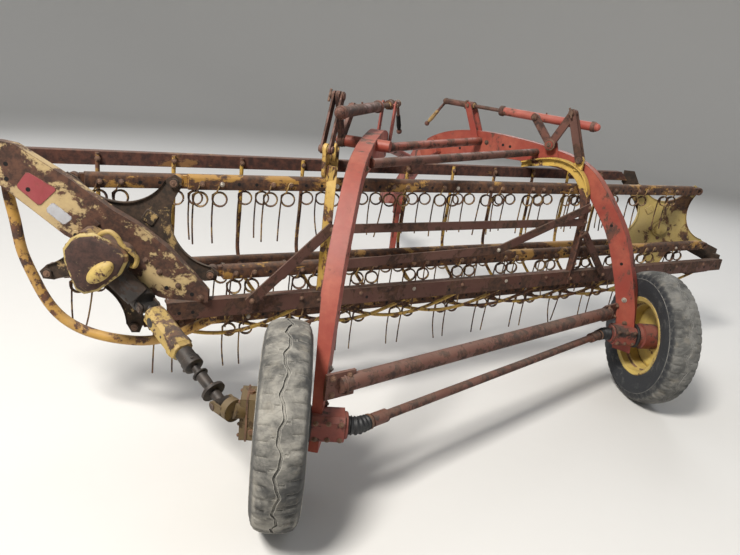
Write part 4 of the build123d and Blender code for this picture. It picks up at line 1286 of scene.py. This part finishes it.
@dataclass
class GearEnd:
    """Left end of the basket: cream end frame, gear case with its cover, dome and handle."""

    face_y: float = -105.0
    cover_y: float = -209.2
    plate_round: float = 7.0
    dome_tilt: float = -42.0

    COVER = ((-1711, 791), (-1687, 827), (-1659, 845), (-1614, 853), (-1517, 809), (-1504, 790),
             (-1504, 765), (-1526, 717), (-1602, 650), (-1648, 635), (-1675, 649), (-1687, 683),
             (-1708, 747))

    def plate(self, name: str, corners: tuple[tuple[float, float], ...], finish: Finish,
              thick: float) -> None:
        """Thin plate with softened corners on the end frame's rear face.

        Args:
            name: Piece name.
            corners: Corners in x and z.
            finish: Finish of the plate.
            thick: How far it stands off.
        """
        pts = [Vector((x, 0, z)) for x, z in corners]
        c = sum(pts, Vector()) / len(pts)
        outline = [p + (q - p).normalized() * self.plate_round for i, p in enumerate(pts)
                   for q in (pts[i - 1], pts[(i + 1) % len(pts)])]
        shape = Shape()
        shape.loft([[p + Y * self.face_y for p in outline],
                    [c + (p - c) * 0.98 + Y * (self.face_y - thick) for p in outline]])
        shape.make(name, finish, "basket")

    def cover(self) -> None:
        """Gear cover: worn cream rim, dark domed panel and bolts."""
        rim, panel, bolts = Shape(), Shape(), Shape()
        pts = [Vector((x, 0, z)) for x, z in self.COVER]
        c = sum(pts, Vector()) / len(pts)
        for shape, steps in ((rim, ((1.03, 12), (1.03, 4), (1.0, 0), (0.93, -2.5))),
                             (panel, ((0.935, 0), (0.93, -5), (0.88, -9), (0.62, -12)))):
            shape.loft([[c + (p - c) * k + Y * (self.cover_y + y) for p in pts] for k, y in steps])
        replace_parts(rim.make("gear_cover_rim", STAR_OLIVE, "basket"), "gear_cover")
        panel.make("gear_cover_panel", COVER_RUST, "basket")
        for i, p in enumerate(pts):
            q = pts[(i + 1) % len(pts)]
            if (q - p).length > 60:
                for t in (0.1, 0.6):
                    seat = c + (p.lerp(q, t) - c) * 0.955 + Y * (self.cover_y - 1)
                    bolts.bolt(seat, -Y, 5.0, False)
        bolts.make("gear_cover_bolts", BOLT_STEEL, "basket")

    def dome(self) -> None:
        """Oval yellow dome on the gear cover."""
        shape = Shape()
        tilt = Matrix.Rotation(math.radians(self.dome_tilt), 3, "Y")
        turns = [2 * math.pi * i / 32 for i in range(32)]
        rings = []
        for j in range(9):
            a = math.radians(10 * j + 4)
            wide = math.cos(a) ** 0.7
            ring = (Vector((57 * wide * math.cos(t), -26 * math.sin(a), 29 * wide * math.sin(t)))
                    for t in turns)
            rings.append([Vector((-1589, -217, 722)) + tilt @ p for p in ring])
        shape.loft(rings)
        shape.make("gear_cover_dome", DOME_YELLOW, "basket")

    def handle(self) -> None:
        """Cast loop over the gear case."""
        shape = Shape()
        loop = ((-1606, -182, 818), (-1599, -190, 842), (-1578, -204, 861), (-1555, -208, 865),
                (-1533, -208, 848), (-1520, -206, 824), (-1492, -200, 798), (-1474, -192, 774),
                (-1484, -182, 742), (-1506, -170, 740))
        shape.tube(smooth_path([Vector(p) for p in loop], 6), 8.5, 12)
        shape.rod(Vector((-1606, -150, 818)), Vector((-1606, -190, 822)), 14, 16, 2)
        shape.make("gear_case_handle", DRIVE_YELLOW, "basket")

    def output(self) -> None:
        """Collar round the gear case's output, where the slanting shaft starts."""
        collar = [(-96, 20), (-96, 38), (-90, 42), (-58, 42), (-54, 45), (-36, 45), (-30, 41),
                  (-28, 20)]
        turned("gear_case_output", collar, CASE_JOINT, Vector(SHAFT_WAY), 40, GREASE_BLACK,
               "basket")

    def bracket(self) -> None:
        """Bracket beside the gear case, with the holes and bolts of the end frame."""
        plate, holes, bolts = Shape(), Shape(), Shape()
        y = self.face_y - 9
        outline = ((-1712, 812), (-1640, 878), (-1622, 862), (-1650, 830), (-1672, 822),
                   (-1690, 792))
        eye = Vector((-1702, y, 816))
        plate.prism([Vector((x, y, z)) for x, z in outline], Y * 8)
        plate.stud(eye, Y, 8, -3, 17, 20, 1.5)
        plate.make("gear_case_bracket", FRAME_CREAM, "basket")
        holes.disc(eye - Y * 3, -Y, 8)
        for x, z, r in ((-1924, 1042, 8), (-1925, 991, 8), (-2060, 1085, 9), (-2088, 1088, 9),
                        (-1392, 640, 8), (-1300, 622, 8)):
            holes.disc(Vector((x, self.face_y, z)), -Y, r)
        holes.disc(Vector((-1856, self.face_y - 2.5, 962)), -Y, 8)
        holes.make("end_frame_holes", HOLE_DARK, "basket")
        for x, z in ((-1962, 1040), (-1960, 1000), (-1418, 700), (-1350, 652), (-1268, 612),
                     (-1466, 740)):
            bolts.bolt(Vector((x, self.face_y, z)), -Y, 8.5)
        bolts.make("end_frame_bolts", BOLT_STEEL, "basket")

    def build(self) -> None:
        """Build the left end."""
        dress("left_end_frame", FRAME_CREAM)
        dress("gear_case", CASE_RUST)
        self.plate("end_plate_red", ((-1858, 1024), (-1760, 972), (-1823, 906), (-1896, 968)),
                   PLATE_RED, 2.5)
        self.plate("end_label_pale", ((-1779, 926), (-1712, 875), (-1743, 844), (-1805, 893)),
                   LABEL_PALE, 1.5)
        self.cover()
        self.dome()
        self.handle()
        self.output()
        self.bracket()


@dataclass
class DriveShafts:
    """Slanting shaft from the gear case to the left wheel, and the cross shaft's rubber boots."""

    housing_half: float = 36.3
    collar_at: float = 299.0
    flange_at: float = 58.5
    boot_folds: int = 5
    boot_long: float = 76.0

    @property
    def way(self) -> Vector:
        """Direction down the slanting shaft."""
        return (WHEEL_JOINT - CASE_JOINT).normalized()

    @property
    def across(self) -> Vector:
        """Level direction square to the slanting shaft."""
        return Vector((-self.way.y, self.way.x, 0)).normalized()

    def yoke_pins(self) -> None:
        """Cross pins and clips of the slanting shaft's joints."""
        side = self.across
        for name, c, body in (("upper", CASE_JOINT, "basket"), ("lower", WHEEL_JOINT, "frame")):
            shape = Shape()
            for s in (-1, 1):
                shape.rod(c + side * (s * 38), c + side * (s * 42), 11, 16, 1)
                clip = circle(c + side * (s * 41), UP, side.cross(UP), 9, 14)
                shape.tube(clip, 1.4, 6, closed=True)
            shape.make(f"drive_joint_{name}_pins", SHAFT_STEEL, body)

    @property
    def upper(self) -> Vector:
        """Direction square to the slanting shaft, out of its upper side."""
        return self.across.cross(self.way).normalized()

    def tube_sleeve(self) -> None:
        """Black sleeve at the end of the shaft's tube, with its collar's screws."""
        shape = Shape()
        for out in circle(Vector(), *square_axes(self.way), 1.0, 3):
            shape.bolt(CASE_JOINT + self.way * self.collar_at + out * 33, out, 6, False)
        tube_end = [(240, 28), (244, 31), (282, 31), (285, 34.5), (313, 34.5), (316, 30), (316, 20)]
        shape.lathe(tube_end, CASE_JOINT, self.way, 40)
        shape.make("drive_sleeve", GREASE_BLACK, "drive_tube")

    def housing(self) -> None:
        """Yellow housing round the shaft's upper half."""
        box = Shape()
        square = ((-1, -0.6), (-0.6, -1), (0.6, -1), (1, -0.6), (1, 0.6), (0.6, 1), (-0.6, 1),
                  (-1, 0.6))
        steps = ((34, 26), (36, 35), (44, 36), (196, 36), (202, 39), (222, 39), (226, 36),
                 (240, 33), (242, 28))
        box.loft([[CASE_JOINT + self.way * t + self.across * (r * x) + self.upper * (r * z)
                   for x, z in square] for t, r in steps])
        box.make("drive_housing_shell", DRIVE_YELLOW, "drive_tube", 25)

    def bar_sleeve(self) -> None:
        """Black sleeve round the bar that slides in the shaft's tube."""
        shape = Shape()
        shape.lathe([(348, 14), (348, 25), (350, 27.5), (354, 27.5), (356, 25), (356, 14)],
                    CASE_JOINT, self.way, 40)
        shape.lathe([(356, 14), (358, 20), (420, 18), (427, 16)], CASE_JOINT, self.way, 32)
        shape.make("drive_bar_sleeve", GREASE_BLACK, "drive_bar")

    def patches(self) -> None:
        """Dark patches on the yellow housing."""
        patch = Shape()
        for out in (-self.across, self.upper):
            for t, r in ((74, 18), (150, 5)):
                patch.disc(CASE_JOINT + self.way * t + out * self.housing_half, out, r)
        patch.make("drive_housing_patch", GREASE_BLACK, "drive_tube")

    def flange(self) -> None:
        """Bolts of the flange at the shaft's lower joint."""
        shape = Shape()
        for out in circle(Vector(), *square_axes(self.way), 1.0, 6):
            shape.bolt(WHEEL_JOINT - self.way * self.flange_at + out * 31, -self.way, 5.5, False)
        shape.make("drive_flange_bolts", BOLT_STEEL, "drive_bar")

    def boots(self) -> None:
        """Folded rubber boots over the cross shaft's joints."""
        a, b = Vector((-676, -STAGGER_HALF, HUB_Z)), Vector((676, STAGGER_HALF, HUB_Z))
        for side, p, q in ((Side.LEFT, a, b), (Side.RIGHT, b, a)):
            way = (q - p).normalized()
            shape, clip = Shape(), Shape()
            out = X * -side.sign
            shape.lathe([(-36, 24), (-36, 30.5), (-28, 31.5), (-25, 29)], p, out, 40)
            rings = []
            for k in range(41):
                t = k / 40
                h = -24 + self.boot_long * t
                r = 31.2 - 6.5 * t + 2.4 * math.cos(2 * math.pi * self.boot_folds * t)
                axis = out.lerp(way, min(1.0, t * 1.6)).normalized()
                normal = axis.cross(UP).normalized()
                c = p + (out if h < 0 else way) * h
                rings.append(circle(c, normal, normal.cross(axis), r, 36))
            shape.loft(rings)
            boot = shape.make(f"{side.value}_boot_bellows", BOOT_BLACK, "frame")
            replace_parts(boot, f"{side.value}_boot")
            clip.lathe([(46, 24.5), (46, 27.5), (53, 27.5), (53, 24.5)], p, way, 40, closed=True)
            clip.make(f"{side.value}_boot_clip", BOLT_STEEL, "frame")

    def build(self) -> None:
        """Build both shafts."""
        dress("drive_shaft_upper", GREASE_BLACK)
        dress("drive_shaft_lower", GREASE_BLACK)
        dress("cross_shaft", LIFT_RUST)
        self.yoke_pins()
        self.tube_sleeve()
        self.housing()
        self.bar_sleeve()
        self.patches()
        self.flange()
        self.boots()


@dataclass
class LiftGear:
    """Bell crank, link, screw, tube and crank handle over one arch."""

    side: Side
    plane: Upright
    drop: float
    tube_off: float = 50.0
    thread: tuple[float, float] = (26.0, 196.0)
    thread_r: float = 9.6
    thread_turns: int = 34
    bear_z: float = 1369.0
    tip_z: float = 1357.0

    def at(self, s: float, z: float, off: float = 0.0) -> Vector:
        """Point in the lift plane, with z taken before this side's drop."""
        return self.plane.at(s - S_PIN, z + self.drop, off)

    def screw_point(self, d: float) -> Vector:
        """Point on the screw.

        Args:
            d: Distance from its swivel towards the bell crank.

        Returns:
            The point.
        """
        p = self.at(S_BEAR, self.bear_z, self.tube_off)
        q = self.at(S_TIP2, self.tip_z, self.tube_off)
        return p + (q - p).normalized() * d

    @property
    def way(self) -> Vector:
        """Direction along the screw towards the bell crank."""
        return (self.screw_point(100) - self.screw_point(0)).normalized()

    def make(self, shape: Shape, name: str, finish: Finish, body: str) -> None:
        """Make a shape one of this side's pieces, on one of this side's bodies."""
        shape.make(f"{self.side.value}_{name}", finish, f"{self.side.value}_{body}")

    def pins(self) -> None:
        """Pin heads, washers, split pins and nuts."""
        n = self.plane.across
        crank, link, mounts = Shape(), Shape(), Shape()
        tip1, foot = self.at(S_TIP1, 1403), self.plane.at(0, 1176)
        tip2, pivot = self.at(S_TIP2, self.tip_z), self.at(S_PIVOT, 1228)
        link.stud(tip1, n, -30, -37, 13, 20, 1.5)
        along = (foot - tip1).normalized()
        link.stud(tip1 - n * 36, along, -26, 26, 5.5, 12, 1.5)
        for p in (tip1, foot):
            link.stud(p, n, -21, -24, 17, 20, 0.8)
        for s in (-1, 1):
            link.stud(foot, n, s * 22.5, s * 30.5, 11, 6)
        self.make(link, "link_pins", BOLT_STEEL, "link")
        crank.stud(tip2, n, -16, -19, 12, 6)
        crank.stud(tip2, n, -19, -24, 7, 12, 1)
        crank.lathe([(-9, 18), (-9, 29), (-11, 27), (-11, 18)], pivot, n, 36, closed=True)
        self.make(crank, "crank_pins", BOLT_STEEL, "crank")
        mounts.stud(pivot, n, -16, -20, 15, 6)
        mounts.stud(pivot, n, -20, -25, 8, 14, 1)
        for s in (-1, 1):
            mounts.stud(self.screw_point(0), n, s * 36, s * 43, 10, 6)
        mounts.make(f"{self.side.value}_mount_nuts", BOLT_STEEL, "frame")

    def screw(self) -> None:
        """Thread of the lift screw, its collars and the crank's grip."""
        shape, collars, grip = Shape(), Shape(), Shape()
        normal, across = square_axes(self.way)
        start, end = self.thread
        path = []
        for k in range(self.thread_turns * 12 + 1):
            a = 2 * math.pi * k / 12
            d = start + (end - start) * k / (self.thread_turns * 12)
            out = math.cos(a) * normal + math.sin(a) * across
            path.append(self.screw_point(d) + self.thread_r * out)
        shape.tube(path, 1.5, 5)
        self.make(shape, "screw_thread", SHAFT_STEEL, "screw")
        for profile in ([(-34, 17), (-34, 25), (-24, 25), (-24, 17)],
                        [(22, 10), (22, 17), (30, 17), (30, 10)]):
            collars.lathe(profile, self.screw_point(0), self.way, 36, closed=True)
        collars.lathe([(-182, 5), (-182, 15), (-176, 18.5), (-168, 18.5), (-168, 17)],
                      self.screw_point(0), self.way, 36)
        self.make(collars, "screw_collars", CASE_RUST, "screw")
        tip = self.at(S_BEAR + 289, self.bear_z - 141, self.tube_off)
        reach = (tip - self.screw_point(-172)).normalized()
        grip.lathe([(0, 8), (4, 11), (70, 12.5), (96, 9)], tip - reach * 110, reach, 24)
        finish = HOLE_DARK if self.side is Side.LEFT else CASE_RUST
        self.make(grip, "crank_grip", finish, "screw")

    def tube(self) -> None:
        """Collar, cap ring and grease nipple on the screw tube."""
        shape = Shape()
        for profile in ([(196, 14), (196, 27), (204, 28.5), (216, 28.5), (222, 24)],
                        [(724, 23), (726, 26.5), (742, 26.5), (748, 23)]):
            shape.lathe(profile, self.screw_point(0), self.way, 40)
        shape.stud(self.screw_point(470), UP, 21, 30, 4, 10, 1)
        self.make(shape, "tube_collars", LIFT_RUST, "screw_tube")

    def build(self) -> None:
        """Build one lift gear."""
        right = self.side is Side.RIGHT
        for node, finish in (("bell_crank", LIFT_RUST), ("link", BEAM_RUST if right else LIFT_RUST),
                             ("screw", LIFT_RUST), ("screw_tube", LIFT_RED if right else LIFT_RUST),
                             ("lift_mounts", ARCH_RED)):
            dress(f"{self.side.value}_{node}", finish)
        self.pins()
        self.screw()
        self.tube()


@dataclass
class Chassis:
    """Arches, axle housings, cross members, tongue and stand."""

    left_arch: Upright = Upright(-797.0, -495.0, 12.0)
    right_arch: Upright = Upright(812.0, 495.0, -45.0)
    web: float = 7.0
    stand: tuple[float, float] = (-120.0, 2760.0)
    stand_half: float = 23.6
    sleeve_half: float = 33.0

    LEFT_MARKS = ((40, 400), (62, 520), (470, 1140), (600, 1160), (1120, 1165), (1220, 1150))
    RIGHT_MARKS = ((30, 400), (62, 520), (560, 1150), (760, 1170), (1010, 1180), (1120, 1160),
                   (1380, 1090))
    HOLE_MARKS = ((120, 700), (215, 880), (520, 1152), (860, 1180), (905, 1182), (1180, 1120))

    def arch_bolts(self) -> None:
        """Bolts through the arches' webs and feet, and a few empty holes."""
        dull, bright, holes = Shape(), Shape(), Shape()
        for arch, face, marks in ((self.left_arch, -1, self.LEFT_MARKS),
                                  (self.right_arch, 1, self.RIGHT_MARKS)):
            out = arch.across * face
            for k, (s, z) in enumerate(marks):
                (bright if k == 1 else dull).bolt(arch.at(s, z), -out, 10)
                dull.bolt(arch.at(s + 4, z, face * self.web), out, 9)
            for s, z in self.HOLE_MARKS:
                holes.disc(arch.at(s, z), -out, 8)
                holes.disc(arch.at(s, z, face * self.web), out, 8)
        dull.make("arch_bolts", BOLT_STEEL, "frame")
        bright.make("arch_new_bolts", BRIGHT_BOLT, "frame")
        holes.make("arch_holes", HOLE_DARK, "frame")

    def housings(self) -> None:
        """Bolts on the axle housings and the drive housing, with its seam and plugs."""
        bolts, trim = Shape(), Shape()
        for s in (-1, 1):
            for dx in (736, 778, 820):
                for dz in (-30, 30):
                    bolts.bolt(Vector((s * dx, s * STAGGER_HALF - 48, HUB_Z + dz)), -Y, 7)
            end = Vector((s * 712, s * STAGGER_HALF, HUB_Z))
            ring = [(0, 30), (0, 45), (6, 47), (12, 45), (12, 30)]
            trim.lathe(ring, end, X * s, 48, closed=True)
        case = Vector((-1034, -495, 372))
        for dy in (-36, 36):
            for dz in (-62, -20, 20, 62):
                bolts.bolt(case + Vector((-32, dy, dz)), -X, 6.5, False)
        bolts.block(case - X * 10, X * 3, Y * 49, UP * 78)
        bolts.stud(case, UP, 75, 84, 11, 6)
        bolts.stud(case + Vector((6, 0, -40)), Y, -46, -53, 9, 6)
        bolts.make("housing_bolts", BOLT_STEEL, "frame")
        trim.make("housing_trim", HUB_RED, "frame")

    def cross_members(self) -> None:
        """Bolted plates and weld seams of the tubes between the arches."""
        bolts, welds = Shape(), Shape()
        for p, q in (((-800, -505, 486), (-700, -442, 486)), ((650, 492, 452), (766, 573, 452))):
            a, b = Vector(p), Vector(q)
            n = (b - a).normalized().cross(UP)
            for t in (0.22, 0.78):
                for dz in (-30, 30):
                    bolts.bolt(a.lerp(b, t) + n * 6.2 + UP * dz, n, 9)
        ends = (Vector((-752, -478, 486)), Vector((690, 520, 452)))
        d = (ends[1] - ends[0]).normalized()
        for e, s in zip(ends, (1, -1)):
            rng = random.Random(int(e.x))
            ring = circle(e + d * (s * 16), UP, d.cross(UP), 31.5, 40)
            ring = [p + d * rng.uniform(-1.5, 1.5) for p in ring]
            welds.tube(ring, 4.0, 6, closed=True)
        bolts.make("cross_tube_bolts", BOLT_STEEL, "frame")
        welds.make("cross_tube_welds", BEAM_RUST, "frame")

    def tongue(self) -> None:
        """Bolts of the tongue, and the stand's holes, pin with its ring, and sleeve rims."""
        bolts, holes, seam = Shape(), Shape(), Shape()
        foot = Vector((*self.stand, 0))
        for y in (3060, 3020):
            for s in (-1, 1):
                bolts.bolt(Vector((-196 + s * 38, y, 448)), X * s, 11)
        for k in range(6):
            for s in (-1, 1):
                holes.disc(foot + X * (s * self.stand_half) + UP * (130 + 40 * k), X * s, 8)
        holes.make("stand_holes", HOLE_DARK, "stand")
        pin = foot + UP * 560
        bolts.stud(pin, X, 33.5, 50, 7.5, 14, 2)
        bolts.tube(circle(pin + Vector((48, 0, -20)), Y, UP, 22, 28), 2.4, 8, closed=True)
        bolts.make("tongue_bolts", BOLT_STEEL, "frame")
        h = self.sleeve_half
        for z in (392, 608):
            corners = [foot + Vector((x, y, z)) for x, y in ((-h, -h), (h, -h), (h, h), (-h, h))]
            seam.tube(corners, 3.0, 6, closed=True)
        seam.make("stand_sleeve_rims", ARCH_RED, "frame")

    def build(self) -> None:
        """Build the chassis."""
        for node in ("left_arch", "right_arch", "tongue", "stand_sleeve", "stand_post"):
            dress(node, ARCH_RED)
        for node, finish in (("left_axle", AXLE_RED), ("right_axle", AXLE_RED),
                             ("cross_tube", LIFT_RUST), ("top_brace", LIFT_RUST),
                             ("upper_tube", TUBE_RED), ("hitch_clevis", CASE_RUST)):
            dress(node, finish)
        self.arch_bolts()
        self.housings()
        self.cross_members()
        self.tongue()


@dataclass
class Studio:
    """Pale floor, soft lights and the camera at the photograph's view."""

    place: Point = (-921.0, -2267.0, 1465.0)
    right: Point = (0.989, -0.088, 0.115)
    up: Point = (-0.081, 0.324, 0.942)
    view: Point = (0.120, 0.942, -0.314)
    lens: float = 29.51
    sensor: float = 36.0
    flat_r: float = 11.5
    bend_r: float = 4.5
    wall_top: float = 15.0
    sides: int = 64

    def camera(self) -> None:
        """Create the camera and make it the scene's."""
        data = bpy.data.cameras.new("photo_camera")
        data.lens, data.sensor_width = self.lens, self.sensor
        data.clip_start, data.clip_end = 0.05, 60.0
        cam = bpy.data.objects.new("photo_camera", data)
        turn = Matrix((self.right, self.up, -Vector(self.view))).transposed()
        place = (Vector(self.place) - ORIGIN) * MM
        cam.matrix_world = Matrix.Translation(place) @ turn.to_4x4()
        bpy.context.scene.collection.objects.link(cam)
        bpy.context.scene.camera = cam

    def floor(self) -> None:
        """Plain pale floor, curved up all round into a backdrop."""
        mesh = bpy.data.meshes.new("floor")
        bend = [math.radians(90.0 * k / 16) for k in range(1, 17)]
        profile = [(self.flat_r - 0.5, 0.0), (self.flat_r, 0.0)]
        profile += [(self.flat_r + self.bend_r * math.sin(t), self.bend_r * (1 - math.cos(t)))
                    for t in bend]
        profile.append((self.flat_r + self.bend_r, self.wall_top))
        verts = [p for r, z in profile for p in circle(UP * z, X, Y, r, self.sides)]
        n = self.sides
        faces = [tuple(range(n))]
        for i in range(0, n * (len(profile) - 1), n):
            faces += [(i + k, i + n + k, i + n + (k + 1) % n, i + (k + 1) % n) for k in range(n)]
        mesh.from_pydata(verts, [], faces)
        mesh.shade_smooth()
        mesh.materials.append(material(FLOOR_PALE))
        floor = bpy.data.objects.new("floor", mesh)
        bpy.context.scene.collection.objects.link(floor)

    def lamp(self, name: str, where: Point, at: Point, size: float, power: float,
             tint: Colour) -> None:
        """One square area light.

        Args:
            name: Name of the light.
            where: Its place, in metres.
            at: The point it looks at.
            size: Edge length.
            power: Watts.
            tint: Its colour.
        """
        data = bpy.data.lights.new(name, "AREA")
        data.size, data.energy, data.color = size, power, tint
        lamp = bpy.data.objects.new(name, data)
        lamp.location = where
        lamp.rotation_euler = (Vector(at) - Vector(where)).to_track_quat("-Z", "Y").to_euler()
        bpy.context.scene.collection.objects.link(lamp)

    def build(self) -> None:
        """Build the studio."""
        self.camera()
        self.floor()
        self.lamp("key", (-3.4, -4.4, 6.2), (0.0, 0.0, 0.5), 1.6, 740.0, (1.0, 0.965, 0.91))
        self.lamp("fill", (5.5, -3.5, 3.4), (0.0, 0.0, 0.7), 4.0, 45.0, (0.92, 0.95, 1.0))
        self.lamp("rim", (3.5, 5.5, 5.5), (0.0, 0.0, 0.7), 4.0, 230.0, (0.97, 0.98, 1.0))
        self.lamp("back_fill", (-5.5, 4.5, 4.0), (0.0, 0.0, 0.7), 4.0, 110.0, (0.97, 0.98, 1.0))
        world = bpy.data.worlds.new("soft_sky")
        world.use_nodes = True
        sky = world.node_tree.nodes["Background"]
        sky.inputs[0].default_value = (0.86, 0.90, 0.95, 1.0)
        sky.inputs[1].default_value = 0.34
        bpy.context.scene.world = world
        bpy.context.scene.view_settings.view_transform = "Standard"


def main() -> None:
    """Build the rake piece by piece, then its studio."""
    Wheel(Side.LEFT).build()
    Wheel(Side.RIGHT).build()
    for k in range(5):
        ToothBar(k).build()
    ReelHead(Side.LEFT, 0.0, -28.0).build()
    ReelHead(Side.RIGHT, BAR_LEN, 20.0).build()
    Basket().build()
    GearEnd().build()
    DriveShafts().build()
    LiftGear(Side.LEFT, Upright(-846.0, 130.0, 21.0), -28.0).build()
    LiftGear(Side.RIGHT, Upright(479.77, 785.52, -45.0), 0.0).build()
    Chassis().build()
    Studio().build()


if __name__ == "__main__":
    main()
